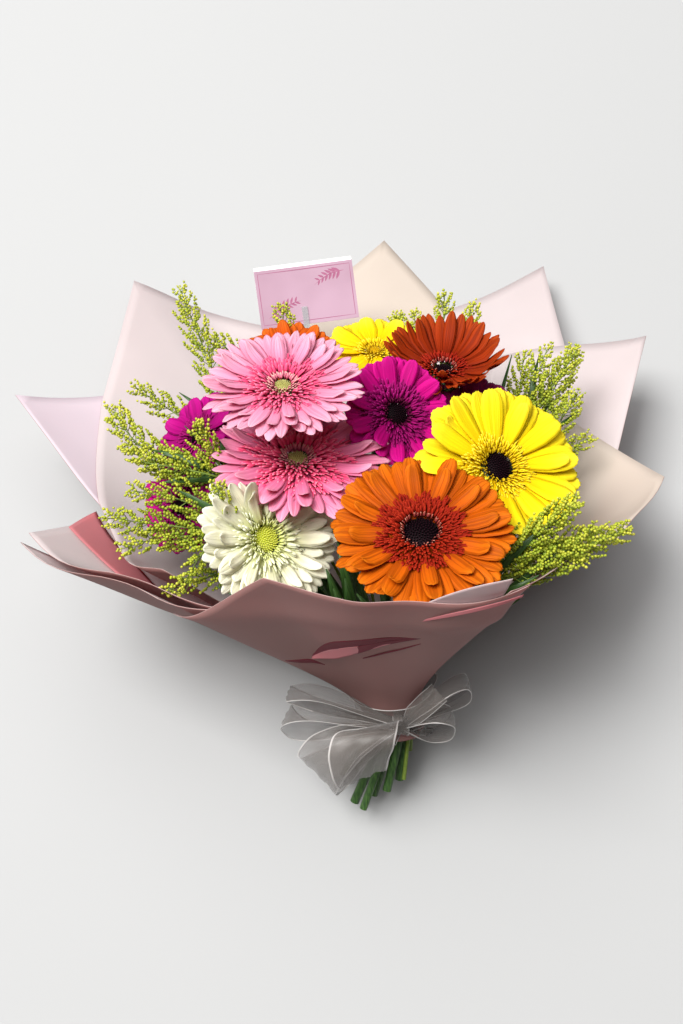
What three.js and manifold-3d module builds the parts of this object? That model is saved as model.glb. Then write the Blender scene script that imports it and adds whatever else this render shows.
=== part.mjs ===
// A hand-tied bouquet of gerberas and goldenrod in two-tone paper, tied with a
// sheer ribbon and carrying a small gift card on a clear pick. It lies on its
// back: the rear sheet and the cut stem ends touch the table.
//
// Layout frame, in millimetres: the table is z = 0, +Y runs from the cut stems
// to the top of the paper and +X is to the right of somebody who looks down on
// the flowers from the stems' side. At the end the whole bouquet is moved so
// that the middle of its footprint is the origin.

import * as THREE from "three";
import { mergeVertices } from "three/addons/utils/BufferGeometryUtils.js";
import Module from "manifold-3d";

const wasm = await Module();
wasm.setup();

// ---------------------------------------------------------------- dimensions

const GAP = 0.3; // clearance between pieces that touch

// The tie, where the paper is gathered round the stems
const TIE = new THREE.Vector3(32, -111, 47);
const AXIS = new THREE.Vector3(-6, 45, 42).normalize(); // along the bunch, towards the flowers
const TAIL = new THREE.Vector3(-11, -43, -36).normalize(); // along the cut ends
const NECK_RADIUS = 21.8; // outermost sheet at the tie
const BUNDLE_RADIUS = 13.1; // all the stems at the tie

// Paper
const PAPER = 0.8; // sheet thickness
const LAYER_PITCH = 1.5; // from one layer of paper to the next
const NECK_FLARE = 0.8; // spread of the paper below the tie
const PAPER_END = -11; // where the sheets end below the tie, along the axis
const COLUMN_STEP = 8; // degrees between the paper's folds and facets

// Gerberas: radius of a bloom, pairs of petals, cup angle (degrees)
const GERBERAS = [
  { name: "orange_front", at: [40.4, -52.5, 190], facing: [-0.05, 0.3, 0.955], cut: 50, radius: 49, pairs: 12,
    cup: 12, droop: 8, width: 1.0, eye: 0.185, crown: "red", colour: 0xec6a10, eyeColour: 0x24101a },
  { name: "yellow_right", at: [83, -8.5, 172], facing: [0.28, 0.07, 0.95], cut: 50, radius: 46, pairs: 12,
    cup: 14, droop: 6, width: 1.0, eye: 0.16, colour: 0xf7e81c, eyeColour: 0x2c1712 },
  { name: "pink_top", at: [-31, 28.9, 192], facing: [0, 0.4, 0.915], cut: 60, radius: 44, pairs: 12,
    cup: 12, droop: 6, width: 0.78, eye: 0.1, colour: 0xf291b8, eyeColour: 0xb9b64e },
  { name: "pink_low", at: [-24, -0.5, 163], facing: [0.05, 0.46, 0.89], cut: 62, radius: 49, pairs: 12,
    cup: 8, droop: 6, width: 0.78, eye: 0.11, colour: 0xf08fb6, eyeColour: 0xb4b84a },
  { name: "white", at: [-40.3, -48, 170], facing: [0.52, -0.1, 0.85], cut: 60, radius: 40, pairs: 12,
    cup: 14, droop: 10, width: 0.92, eye: 0.17, colour: 0xf6f7ea, eyeColour: 0xc3d84e },
  { name: "magenta_centre", at: [30.2, 30.1, 156], facing: [0.35, -0.07, 0.94], cut: 56, radius: 33, pairs: 11,
    cup: 12, droop: 2, width: 0.92, eye: 0.19, colour: 0xb5107e, eyeColour: 0x1c0e18 },
  { name: "orange_back", at: [58.7, 63.7, 140], facing: [0.03, 0.52, 0.85], cut: 52, radius: 42, pairs: 10,
    cup: 42, droop: 0, width: 0.95, eye: 0.14, crown: "red", colour: 0xe4561a, eyeColour: 0x24101a },
  { name: "yellow_back", hidden: true, at: [19.6, 78.3, 136], facing: [-0.04, 0.49, 0.87], cut: 48, radius: 31, pairs: 8,
    cup: 16, droop: 4, width: 1.0, eye: 0.15, colour: 0xf4e31e, eyeColour: 0x8a7a1e },
  { name: "burgundy_back", hidden: true, at: [77, 35, 134], facing: [0.15, 0.42, 0.9], cut: 46, radius: 31, pairs: 8,
    cup: 34, droop: 0, width: 0.95, eye: 0.15, colour: 0x8e1250, eyeColour: 0x1c0e18 },
  { name: "magenta_left_upper", hidden: true, at: [-80, 24, 138], facing: [-0.55, 0.25, 0.8], cut: 50, radius: 30, pairs: 8,
    cup: 14, droop: 10, width: 1.0, eye: 0.17, colour: 0xb0107a, eyeColour: 0x1c0e18 },
  { name: "magenta_left_lower", hidden: true, at: [-90, -14, 128], facing: [-0.62, -0.2, 0.76], cut: 48, radius: 28, pairs: 8,
    cup: 14, droop: 10, width: 1.0, eye: 0.17, colour: 0xb8087c, eyeColour: 0x1c0e18 },
  { name: "orange_hidden", hidden: true, at: [-30.3, 75.9, 132], facing: [-0.04, 0.39, 0.92], cut: 44, radius: 31, pairs: 8,
    cup: 16, droop: 8, width: 1.0, eye: 0.15, colour: 0xe8651a, eyeColour: 0x24101a },
];

const HUB = 0.4; // radius of the disc that the petals grow from, as a share of the bloom
const PETAL_ROOT = 0.9; // thickness of a petal at the disc
const PETAL_BLADE = 0.7; // and further out
const PETAL_CLEARANCE = 0.35; // kept from everything that a petal could cross
const EYE_SEAT = 1.2; // height of the seat of the eye in the disc
const UNDERSIDE = 0.12; // depth of the cone under a bloom, as a share of its radius

// Stems
const STEM_CLEARANCE = 0.5;
const TAIL_SPREAD = 1.0; // how far the cut ends spread beyond the tie
const PACKING_ROUNDS = 600;

// ------------------------------------------------------------------- helpers

const radians = THREE.MathUtils.degToRad;
const vector = (p) => (p.isVector3 ? p.clone() : new THREE.Vector3(...p));

// A small repeatable random source, one for each plant
function seeded(seed) {
  let state = seed >>> 0;
  return () => {
    state = (state + 0x6d2b79f5) >>> 0;
    let t = state;
    t = Math.imul(t ^ (t >>> 15), t | 1);
    t ^= t + Math.imul(t ^ (t >>> 7), t | 61);
    return ((t ^ (t >>> 14)) >>> 0) / 4294967296;
  };
}

// A closed mesh under construction: points and triangles
class Shape {
  constructor() {
    this.points = [];
    this.triangles = [];
  }

  point(p) {
    this.points.push(p.x, p.y, p.z);
    return this.points.length / 3 - 1;
  }

  row(list) {
    return list.map((p) => this.point(p));
  }

  triangle(a, b, c) {
    this.triangles.push(a, b, c);
  }

  quad(a, b, c, d) {
    this.triangle(a, b, c);
    this.triangle(a, c, d);
  }

  // A closed band between two rings with the same number of points
  band(ring, next, skip = () => false) {
    for (let j = 0; j < ring.length; j++) {
      const k = (j + 1) % ring.length;
      if (!skip(j)) this.quad(ring[j], ring[k], next[k], next[j]);
    }
  }

  fanFrom(centre, ring) {
    for (let j = 0; j < ring.length; j++) this.triangle(centre, ring[(j + 1) % ring.length], ring[j]);
  }

  fanTo(centre, ring) {
    for (let j = 0; j < ring.length; j++) this.triangle(ring[j], ring[(j + 1) % ring.length], centre);
  }

  geometry() {
    const geometry = new THREE.BufferGeometry();
    geometry.setAttribute("position", new THREE.Float32BufferAttribute(this.points, 3));
    geometry.setIndex(this.triangles);
    geometry.computeVertexNormals();
    return geometry;
  }
}

// The same shape with its faces turned to the other side
function flipped(shape) {
  for (let i = 0; i < shape.triangles.length; i += 3) {
    [shape.triangles[i + 1], shape.triangles[i + 2]] = [shape.triangles[i + 2], shape.triangles[i + 1]];
  }
  return shape;
}

// The solid of a closed geometry, moved by a matrix, for cutting, joining and clearance tests
function solid(geometry, matrix = new THREE.Matrix4()) {
  const bare = geometry.clone().applyMatrix4(matrix);
  bare.deleteAttribute("normal");
  bare.deleteAttribute("uv");
  const merged = mergeVertices(bare, 1e-4);
  return new wasm.Manifold(new wasm.Mesh({
    numProp: 3,
    vertProperties: new Float32Array(merged.attributes.position.array),
    triVerts: new Uint32Array(merged.index.array),
  }));
}

function geometryOf(body) {
  const mesh = body.getMesh();
  const geometry = new THREE.BufferGeometry();
  const points = [];
  for (let i = 0; i < mesh.vertProperties.length; i += mesh.numProp) {
    points.push(mesh.vertProperties[i], mesh.vertProperties[i + 1], mesh.vertProperties[i + 2]);
  }
  geometry.setAttribute("position", new THREE.Float32BufferAttribute(points, 3));
  geometry.setIndex(Array.from(mesh.triVerts));
  geometry.computeVertexNormals();
  return geometry;
}

function material(colour, roughness) {
  return new THREE.MeshStandardMaterial({ color: colour, roughness, metalness: 0 });
}

const bouquet = new THREE.Group();
const placed = []; // the solids that later petals and sprays are bent clear of

function add(name, geometry, colour, roughness, matrix = new THREE.Matrix4(), clears = true) {
  const mesh = new THREE.Mesh(geometry, material(colour, roughness));
  mesh.name = name;
  matrix.decompose(mesh.position, mesh.quaternion, mesh.scale);
  bouquet.add(mesh);
  if (clears) placed.push({ name, body: solid(geometry, matrix) });
  return mesh;
}

function boxesMeet(a, b, margin) {
  return [0, 1, 2].every((k) => a.min[k] - margin < b.max[k] && b.min[k] - margin < a.max[k]);
}

// Volume that a solid shares with what is placed already
function crosses(body, others = placed) {
  const box = body.boundingBox();
  return others.some((other) =>
    boxesMeet(box, other.body.boundingBox(), 0) && body.intersect(other.body).volume() > 0.002);
}

// ---------------------------------------------------------- the paper funnel

// Directions round the axis: 0 degrees is down to the table, 90 right, 180 up, -90 left
const DOWN = new THREE.Vector3(0, 0, -1).addScaledVector(AXIS, AXIS.z).normalize();
const RIGHT = new THREE.Vector3().crossVectors(DOWN, AXIS).normalize();
if (RIGHT.x < 0) RIGHT.negate();

const radial = (degrees) => DOWN.clone().multiplyScalar(Math.cos(radians(degrees)))
  .addScaledVector(RIGHT, Math.sin(radians(degrees)));

// Half angle of the funnel by direction: wide at the sides and towards the table
const OPENING = [[-172, 42], [-147, 40.5], [-112, 46], [-90, 52], [-58, 54.5], [-30, 52], [-12, 55],
  [10, 56.5], [22, 54], [38, 53], [56, 55.5], [84, 57.5], [104, 53], [123, 47], [150, 45.5]];

function opening(degrees) {
  const keys = [...OPENING, [OPENING[0][0] + 360, OPENING[0][1]]];
  let angle = degrees;
  while (angle < keys[0][0]) angle += 360;
  while (angle >= keys[0][0] + 360) angle -= 360;
  const next = keys.findIndex((key) => key[0] > angle);
  const [from, a] = keys[next - 1];
  const [to, b] = keys[next];
  const share = (1 - Math.cos(Math.PI * (angle - from) / (to - from))) / 2;
  return a + (b - a) * share;
}

// A smooth rise from 0 to 1 and back round one direction
function bump(degrees, middle, spread) {
  const away = Math.abs(((degrees - middle + 540) % 360) - 180) / spread;
  return away < 1 ? (1 + Math.cos(Math.PI * away)) / 2 : 0;
}

// Radius of the funnel. On the front right it opens late, like a trumpet. flare is the
// extra opening of the sheets that bend outwards on the front left.
function funnelRadius(degrees, height, flare) {
  if (height < 0) return Math.hypot(NECK_RADIUS, height * NECK_FLARE);
  const angle = opening(degrees) + flare * bump(degrees, WING_DIRECTION, WING_SPREAD);
  const late = Math.pow(height / RIM_HEIGHT, TRUMPET * bump(degrees, TRUMPET_DIRECTION, TRUMPET_SPREAD));
  return Math.hypot(NECK_RADIUS, height * Math.tan(radians(angle)) * late);
}

// A point of the funnel: direction, height along the axis, and depth inside its outer face.
// The paper can't go below the table, so there it lies flat on it.
function funnel(degrees, height, depth, flare = 0) {
  const point = freeFunnel(degrees, height, depth, flare);
  point.z = Math.max(point.z, depth);
  return point;
}

function freeFunnel(degrees, height, depth, flare) {
  const radius = funnelRadius(degrees, height, flare);
  const rise = (funnelRadius(degrees, height + 1, flare) - funnelRadius(degrees, height - 1, flare)) / 2;
  const out = radial(degrees);
  const inward = AXIS.clone().multiplyScalar(rise).sub(out).normalize();
  return TIE.clone().addScaledVector(AXIS, height).addScaledVector(out, radius)
    .addScaledVector(inward, depth);
}

// The height at which the paper meets the table on its way up to a given height, or null
function creaseHeight(degrees, top, depth, flare) {
  if (freeFunnel(degrees, top, depth, flare).z >= depth) return null;
  let low = 0, high = top;
  for (let round = 0; round < 24; round++) {
    const middle = (low + high) / 2;
    if (freeFunnel(degrees, middle, depth, flare).z >= depth) low = middle;
    else high = middle;
  }
  return low;
}

// Where a point in space lies on the funnel: its direction and its distance from the tie
function onFunnel(point) {
  const offset = vector(point).sub(TIE);
  return {
    degrees: THREE.MathUtils.radToDeg(Math.atan2(offset.dot(RIGHT), offset.dot(DOWN))),
    distance: offset.length(),
  };
}

const WING_DIRECTION = -92; // where the outer front sheets bend outwards, degrees
const WING_SPREAD = 56;
const TRUMPET = 0.4; // how late the funnel opens on the front right
const TRUMPET_DIRECTION = 116;
const TRUMPET_SPREAD = 52;
const RIM_HEIGHT = 115;
const UNROLLED = 0.79; // angle of the paper laid flat, as a share of its angle round the axis

// Distance from the tie along a straight paper edge between two corners
function edgeDistance(a, b, degrees) {
  const angle = (d) => radians(d) * UNROLLED;
  const ta = angle(a.degrees), tb = angle(b.degrees), t = angle(degrees);
  if (Math.abs(tb - ta) < 1e-6) return b.distance;
  const inverse = (Math.sin(tb - t) / a.distance + Math.sin(t - ta) / b.distance) / Math.sin(tb - ta);
  return 1 / inverse;
}

// Fixed rows of points along the paper, the same in every sheet, so that layers stay parallel
const ROWS = [PAPER_END, 0, 18, 45, 100, 125, 150];

const LAST_ROW_CLEAR = 10;
const CREASE_COLUMNS = [20]; // one more where the paper leaves the table, degrees

// A sheet of paper: its outer corners in space, from left to right, and its layer
// (0 is the outermost). lower are the corners of its other edge, where that shows.
function sheet({ corners, layer, lower, flare = 0 }) {
  const rim = corners.map(onFunnel);
  for (let i = 1; i < rim.length; i++) while (rim[i].degrees < rim[i - 1].degrees) rim[i].degrees += 360;
  const hem = lower ? lower.map(onFunnel) : null;
  if (hem) for (const corner of hem) while (corner.degrees < rim[0].degrees - 1) corner.degrees += 360;
  const columns = rim.map((corner) => corner.degrees);
  const first = rim[0].degrees, last = rim[rim.length - 1].degrees;
  for (let d = Math.ceil(first / COLUMN_STEP) * COLUMN_STEP; d < last; d += COLUMN_STEP) {
    if (columns.every((c) => Math.abs(c - d) > COLUMN_STEP * 0.3)) columns.push(d);
  }
  columns.push(...CREASE_COLUMNS.filter((d) => d > first + 2 && d < last - 2));
  columns.sort((a, b) => a - b);

  const along = (edge, degrees) => {
    let k = edge.findIndex((corner) => corner.degrees >= degrees - 1e-6);
    k = Math.min(Math.max(k, 1), edge.length - 1);
    return edgeDistance(edge[k - 1], edge[k], degrees);
  };
  const heightAt = (distance, degrees) =>
    distance * Math.cos(radians(opening(degrees) + flare * bump(degrees, WING_DIRECTION, WING_SPREAD)));

  const shape = new Shape();
  const chains = columns.map((degrees) => {
    const top = heightAt(along(rim, degrees), degrees);
    let bottom = PAPER_END;
    if (hem) bottom = Math.min(heightAt(along(hem, degrees), degrees), top - 4);
    const crease = creaseHeight(degrees, top, layer * LAYER_PITCH, flare);
    const rows = ROWS.filter((row) => row > bottom + 3 && row < top - LAST_ROW_CLEAR
      && (crease === null || row < crease - 4));
    if (crease !== null && crease < top - 1) rows.push(crease);
    const heights = [bottom, ...rows, top];
    return heights.map((height) => ({
      height,
      outer: shape.point(funnel(degrees, height, layer * LAYER_PITCH, flare)),
      inner: shape.point(funnel(degrees, height, layer * LAYER_PITCH + PAPER, flare)),
    }));
  });

  const skin = (a, b, c) => { // one facet on both faces alike
    shape.triangle(a.outer, b.outer, c.outer);
    shape.triangle(a.inner, c.inner, b.inner);
  };
  for (let i = 0; i + 1 < chains.length; i++) {
    const left = chains[i], right = chains[i + 1];
    let l = 0, r = 0;
    while (l + 1 < left.length || r + 1 < right.length) {
      const leftNext = l + 1 < left.length ? left[l + 1].height : Infinity;
      const rightNext = r + 1 < right.length ? right[r + 1].height : Infinity;
      const atEnds = l + 2 === left.length && r + 2 === right.length;
      if (leftNext <= rightNext || (atEnds && leftNext < Infinity)) {
        skin(left[l], right[r], left[l + 1]);
        l += 1;
      } else {
        skin(left[l], right[r], right[r + 1]);
        r += 1;
      }
    }
    edge(shape, left[0], right[0], true);
    edge(shape, left[left.length - 1], right[right.length - 1], false);
  }
  const side = (chain, forward) => {
    for (let k = 0; k + 1 < chain.length; k++) edge(shape, chain[k], chain[k + 1], forward);
  };
  side(chains[0], false);
  side(chains[chains.length - 1], true);
  return flipped(shape).geometry();
}

// The thin wall along a sheet's edge, between its outer and its inner face
function edge(shape, a, b, forward) {
  if (forward) shape.quad(a.outer, a.inner, b.inner, b.outer);
  else shape.quad(a.outer, b.outer, b.inner, a.inner);
}

const LIGHT_PINK = 0xf6dcdc, PEACH = 0xf6e0cf, LILAC_PINK = 0xefd6e6, DUSTY_ROSE = 0xc58f8d;

const SHEETS = [
  { name: "wrap_back_centre", layer: 0, colour: PEACH,
    corners: [[-100, 112, 8], [27, 247, 0], [140, 100, 12]] },
  { name: "wrap_back_right", layer: 2, colour: LIGHT_PINK,
    corners: [[-12, 156, 8], [142, 205, 24], [158, 70, 55]] },
  { name: "wrap_back_left", layer: 4, colour: LIGHT_PINK,
    corners: [[-96, -64, 156], [-140, 4, 100], [-154, 86, 56], [-145, 195, 24], [20, 152, 10]] },
  { name: "wrap_left", layer: 2.4, colour: LILAC_PINK,
    corners: [[-120, -12, 104], [-208, 79, 70], [-80, 112, 30]] },
  { name: "wrap_right", layer: 3, colour: LIGHT_PINK,
    corners: [[98, 132, 28], [201, 127, 60], [158, -10, 84]] },
  { name: "wrap_right_front", layer: 4, colour: PEACH,
    corners: [[118, 100, 62], [192, 4.6, 110], [84, -90, 203]] },
  { name: "wrap_front_left", layer: 3, flare: 3.5, colour: LIGHT_PINK,
    corners: [[-30, -96, 150], [-86, -86, 146], [-166, -44, 124], [-144, -23, 118]] },
  { name: "wrap_front", layer: 0, flare: 5, colour: DUSTY_ROSE,
    corners: [[92, -90, 212], [46, -98, 220], [-1, -92, 220], [-37, -84, 216], [-88, -83, 150]] },
  { name: "wrap_front_wing", layer: 1, flare: 5, colour: DUSTY_ROSE,
    corners: [[-20, -100, 150], [-50, -88, 150], [-112, -66, 150], [-177, -42, 130]],
    lower: [[-20, -110, 90], [-78, -92, 128], [-174, -46, 126]] },
];

for (const one of SHEETS) add(one.name, sheet(one), one.colour, 0.85);

// ------------------------------------------------------------- rods and twigs

// A round rod through a list of points, with a radius at each
function tube(points, radii, sides, turn = 0) {
  const shape = new Shape();
  const count = points.length;
  const tangent = (i) => points[Math.min(i + 1, count - 1)].clone()
    .sub(points[Math.max(i - 1, 0)]).normalize();
  let across = new THREE.Vector3(0.31, 0.52, -0.8);
  const rings = points.map((centre, i) => {
    const t = tangent(i);
    across.addScaledVector(t, -across.dot(t)).normalize();
    const other = new THREE.Vector3().crossVectors(t, across);
    const ring = [];
    for (let j = 0; j < sides; j++) {
      const angle = turn + (j / sides) * Math.PI * 2;
      ring.push(centre.clone().addScaledVector(across, Math.cos(angle) * radii[i])
        .addScaledVector(other, Math.sin(angle) * radii[i]));
    }
    return shape.row(ring);
  });
  shape.fanFrom(shape.point(points[0]), rings[0]);
  for (let i = 0; i + 1 < count; i++) shape.band(rings[i], rings[i + 1]);
  shape.fanTo(shape.point(points[count - 1]), rings[count - 1]);
  return shape.geometry();
}

const fatter = (radii, by) => radii.map((radius) => radius + by);

// Every stem's place in the tie: it starts where its head leans and is pushed apart
// until the stems lie side by side inside the paper
function packTie(stems) {
  for (const stem of stems) {
    const offset = vector(stem.towards).sub(TIE);
    const x = offset.dot(RIGHT), y = offset.dot(DOWN);
    const reach = Math.hypot(x, y, offset.dot(AXIS));
    stem.u = (x / reach) * BUNDLE_RADIUS;
    stem.v = (y / reach) * BUNDLE_RADIUS;
  }
  for (let round = 0; round < PACKING_ROUNDS; round++) {
    for (let i = 0; i < stems.length; i++) {
      for (let k = i + 1; k < stems.length; k++) {
        const a = stems[i], b = stems[k];
        const need = a.radius + b.radius + STEM_CLEARANCE;
        const dx = b.u - a.u + 1e-4 * (k - i), dy = b.v - a.v;
        const apart = Math.hypot(dx, dy);
        if (apart >= need) continue;
        const push = (need - apart) / 2 / apart;
        a.u -= dx * push;
        a.v -= dy * push;
        b.u += dx * push;
        b.v += dy * push;
      }
    }
    for (const stem of stems) {
      const out = Math.hypot(stem.u, stem.v);
      const limit = BUNDLE_RADIUS - stem.radius;
      if (out <= limit) continue;
      stem.u *= limit / out;
      stem.v *= limit / out;
    }
  }
  for (const stem of stems) {
    stem.offset = RIGHT.clone().multiplyScalar(stem.u).addScaledVector(DOWN, stem.v);
    stem.tie = TIE.clone().add(stem.offset);
  }
}

// Points of a stem from its cut end, through the tie, to its head. sway moves the
// upper part sideways so that it passes its neighbours.
function stemPoints(stem, sway, shares) {
  const end = stem.tie.clone().addScaledVector(TAIL, stem.cut).addScaledVector(stem.offset, TAIL_SPREAD);
  end.z = Math.max(end.z, stem.radius + 0.05);
  const below = new THREE.CubicBezierCurve3(end, end.clone().addScaledVector(TAIL, -stem.cut * 0.45),
    stem.tie.clone().addScaledVector(AXIS, -stem.cut * 0.4), stem.tie);
  const length = stem.top.distanceTo(stem.tie);
  const above = new THREE.CubicBezierCurve3(stem.tie,
    stem.tie.clone().addScaledVector(AXIS, length * 0.3).addScaledVector(stem.offset, 1.2),
    stem.top.clone().addScaledVector(stem.along, -length * 0.32).add(sway), stem.top);
  const points = [end, below.getPoint(0.7), stem.tie];
  for (const share of shares) points.push(above.getPoint(share));
  for (const point of points) point.z = Math.max(point.z, stem.radius + 0.05);
  return points;
}

const SWAYS = [[0, 0]];
for (const reach of [8, 16, 26, 40, 56, 74]) {
  for (let k = 0; k < 8; k++) SWAYS.push([reach * Math.cos(k * Math.PI / 4), reach * Math.sin(k * Math.PI / 4)]);
}

// The first way past its neighbours that a stem finds
function clearStem(stem, shares, build) {
  const others = placed.filter((other) => other.keptFrom !== stem.name);
  const aside = new THREE.Vector3().crossVectors(stem.along, new THREE.Vector3(0, 0, 1)).normalize();
  const ahead = new THREE.Vector3().crossVectors(aside, stem.along);
  for (const [x, y] of SWAYS) {
    const sway = aside.clone().multiplyScalar(x).addScaledVector(ahead, y);
    const points = stemPoints(stem, sway, shares);
    if (!crosses(solid(build(points, STEM_CLEARANCE * 0.5)), others)) return points;
  }
  return stemPoints(stem, new THREE.Vector3(), shares);
}

// ------------------------------------------------------------------ gerberas

const PETAL_PARTS = [0.42, 0.4, 0.18]; // lengths of a petal's three parts
const HIDDEN_PARTS = [0.7, 0.3]; // and of the two on blooms that are mostly hidden
const BENDS = [0, 6, -6, 12, -12, 20, -20, 30, -30, 42, -42, 56, -56, 72, -72];
const SHORTENINGS = [1, 0.85, 0.7, 0.55, 0.4, 0.26, 0.16];

function bloomFrame(f) {
  const facing = vector(f.facing).normalize();
  const turn = new THREE.Quaternion().setFromUnitVectors(new THREE.Vector3(0, 0, 1), facing);
  return new THREE.Matrix4().compose(vector(f.at), turn, new THREE.Vector3(1, 1, 1));
}

const ringOf = (count, radius, heightAt) => Array.from({ length: count }, (_, j) => {
  const angle = (j / count) * Math.PI * 2;
  return new THREE.Vector3(Math.cos(angle) * radius, Math.sin(angle) * radius, heightAt(j));
});

// Cross-sections of one petal, from its root to its tip: four corners each, two at the tip.
// tier is 0 for the lower layer, 1 for the upper one.
function petalSections(f, cell, tier, bend, shorten, jitter, grow = 0) {
  const step = Math.PI / f.pairs;
  const angle = (cell + 0.5) * step + jitter.turn;
  const out = new THREE.Vector3(Math.cos(angle), Math.sin(angle), 0);
  const across = new THREE.Vector3(-Math.sin(angle), Math.cos(angle), 0);
  const hub = f.radius * (f.hub ?? HUB);
  const length = (f.radius - hub) * (tier ? 0.93 : 1) * jitter.length * shorten;
  const lift = f.cup + (tier ? 7 : -3) + jitter.lift + bend;
  const parts = f.hidden ? HIDDEN_PARTS : PETAL_PARTS;
  const slopes = f.hidden ? [lift - f.droop * 0.3, lift - f.droop * 1.2]
    : [lift, lift - f.droop * 0.6, lift - f.droop * 1.3];
  const pitch = Math.PI * (hub + length * PETAL_PARTS[0]) / f.pairs;
  const widths = [1.22, 1.23, 0.5].map((share) => share * pitch * f.width).slice(3 - parts.length);
  const sections = [];
  let centre = out.clone().multiplyScalar(hub * Math.cos(step / 2));
  centre.z = (tier - 0.5) * PETAL_ROOT;
  for (let k = 0; k < parts.length; k++) {
    const slope = radians(slopes[k]);
    centre = centre.clone().addScaledVector(out, Math.cos(slope) * length * parts[k]);
    centre.z += Math.sin(slope) * length * parts[k];
    const normal = out.clone().multiplyScalar(-Math.sin(slope));
    normal.z = Math.cos(slope);
    const half = widths[k] / 2 + grow;
    const thick = PETAL_BLADE / 2 + grow;
    const corner = (side, face) => centre.clone().addScaledVector(across, side * half)
      .addScaledVector(normal, face * thick);
    if (k + 1 < parts.length) sections.push([corner(1, -1), corner(-1, -1), corner(-1, 1), corner(1, 1)]);
    else sections.push([corner(-1, 0), corner(1, 0)]);
  }
  return sections;
}

function petalSkin(shape, root, sections) {
  let previous = root;
  for (const corners of sections.slice(0, -1)) {
    const next = shape.row(corners);
    for (let k = 0; k < 4; k++) shape.quad(previous[k], next[k], next[(k + 1) % 4], previous[(k + 1) % 4]);
    previous = next;
  }
  const [tipThis, tipNext] = shape.row(sections[sections.length - 1]);
  const [lowNext, lowThis, highThis, highNext] = previous;
  shape.quad(highThis, tipThis, tipNext, highNext);
  shape.quad(lowNext, tipNext, tipThis, lowThis);
  shape.triangle(lowThis, tipThis, highThis);
  shape.triangle(highNext, tipNext, lowNext);
}

// The petal alone as a solid, from a little way out, for the clearance test
function petalSolid(root, sections, matrix, from) {
  const shape = new Shape();
  const start = root.map((corner, k) => corner.clone().lerp(sections[0][k], from));
  const base = shape.row(start);
  shape.quad(base[0], base[1], base[2], base[3]);
  petalSkin(shape, base, sections);
  return solid(shape.geometry(), matrix);
}

function rays(f, matrix) {
  const random = seeded(f.seed);
  const columns = f.pairs * 2;
  const hub = f.radius * (f.hub ?? HUB);
  const eye = f.radius * f.eye + GAP;
  const shape = new Shape();
  const zigzag = (low, high) => (j) => (j % 2 ? low : high);
  const profile = [
    ringOf(columns, hub, () => -PETAL_ROOT),
    ringOf(columns, hub, () => 0),
    ringOf(columns, hub, () => PETAL_ROOT),
  ];
  if (!f.crown) {
    profile.push(ringOf(columns, hub * 0.84, zigzag(2.6, 1.3)));
    profile.push(ringOf(columns, eye + (hub - eye) * 0.4, zigzag(1.6, 2.9)));
  }
  profile.push(ringOf(columns, eye, () => (f.crown ? PETAL_ROOT : EYE_SEAT)));
  const rings = profile.map((ring) => shape.row(ring));
  shape.fanFrom(shape.point(new THREE.Vector3(0, 0, -f.radius * UNDERSIDE)), rings[0]);
  shape.band(rings[0], rings[1], (j) => j % 2 === 1);
  shape.band(rings[1], rings[2], (j) => j % 2 === 0);
  for (let k = 2; k + 1 < rings.length; k++) shape.band(rings[k], rings[k + 1]);
  const seat = f.crown ? PETAL_ROOT : EYE_SEAT;
  shape.fanTo(shape.point(new THREE.Vector3(0, 0, seat)), rings[rings.length - 1]);

  const siblings = [];
  for (const tier of [1, 0]) {
    for (let j = 0; j < columns; j++) {
      if (j % 2 === tier) continue;
      const k = (j + 1) % columns;
      const corners = [profile[tier][k], profile[tier][j], profile[tier + 1][j], profile[tier + 1][k]];
      const jitter = {
        turn: (random() - 0.5) * 0.25 * Math.PI / f.pairs,
        length: 0.95 + random() * 0.1,
        lift: (random() - 0.5) * 5,
      };
      let best = null;
      search: for (const shorten of SHORTENINGS) {
        for (const bend of BENDS) {
          const test = petalSections(f, j, tier, bend, shorten, jitter, PETAL_CLEARANCE);
          if (crosses(petalSolid(corners, test, matrix, 0.04))) continue;
          if (crosses(petalSolid(corners, test, matrix, 0.3), siblings)) continue;
          best = petalSections(f, j, tier, bend, shorten, jitter);
          break search;
        }
      }
      const root = [rings[tier][k], rings[tier][j], rings[tier + 1][j], rings[tier + 1][k]];
      if (!best) { // no room for this petal at all
        shape.quad(root[1], root[0], root[3], root[2]);
        continue;
      }
      petalSkin(shape, root, best);
      siblings.push({ body: petalSolid(corners, best, matrix, 0.04) });
    }
  }
  return shape.geometry();
}

// The ring of short florets between petals and eye, where it has its own colour
function crown(f) {
  const columns = f.pairs * 2;
  const hub = f.radius * (f.hub ?? HUB);
  const eye = f.radius * f.eye + GAP * 2;
  const floor = PETAL_ROOT + GAP;
  const shape = new Shape();
  const zigzag = (low, high) => (j) => (j % 2 ? low : high);
  const rings = [
    ringOf(columns, eye, () => floor),
    ringOf(columns, hub - 0.6, () => floor),
    ringOf(columns, hub * 0.88, zigzag(2.4, 4.0)),
    ringOf(columns, hub * 0.66, zigzag(4.4, 2.8)),
    ringOf(columns, eye, () => 2.6),
  ].map((ring) => shape.row(ring));
  for (let k = 0; k < rings.length; k++) shape.band(rings[k], rings[(k + 1) % rings.length]);
  return shape.geometry();
}

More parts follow.
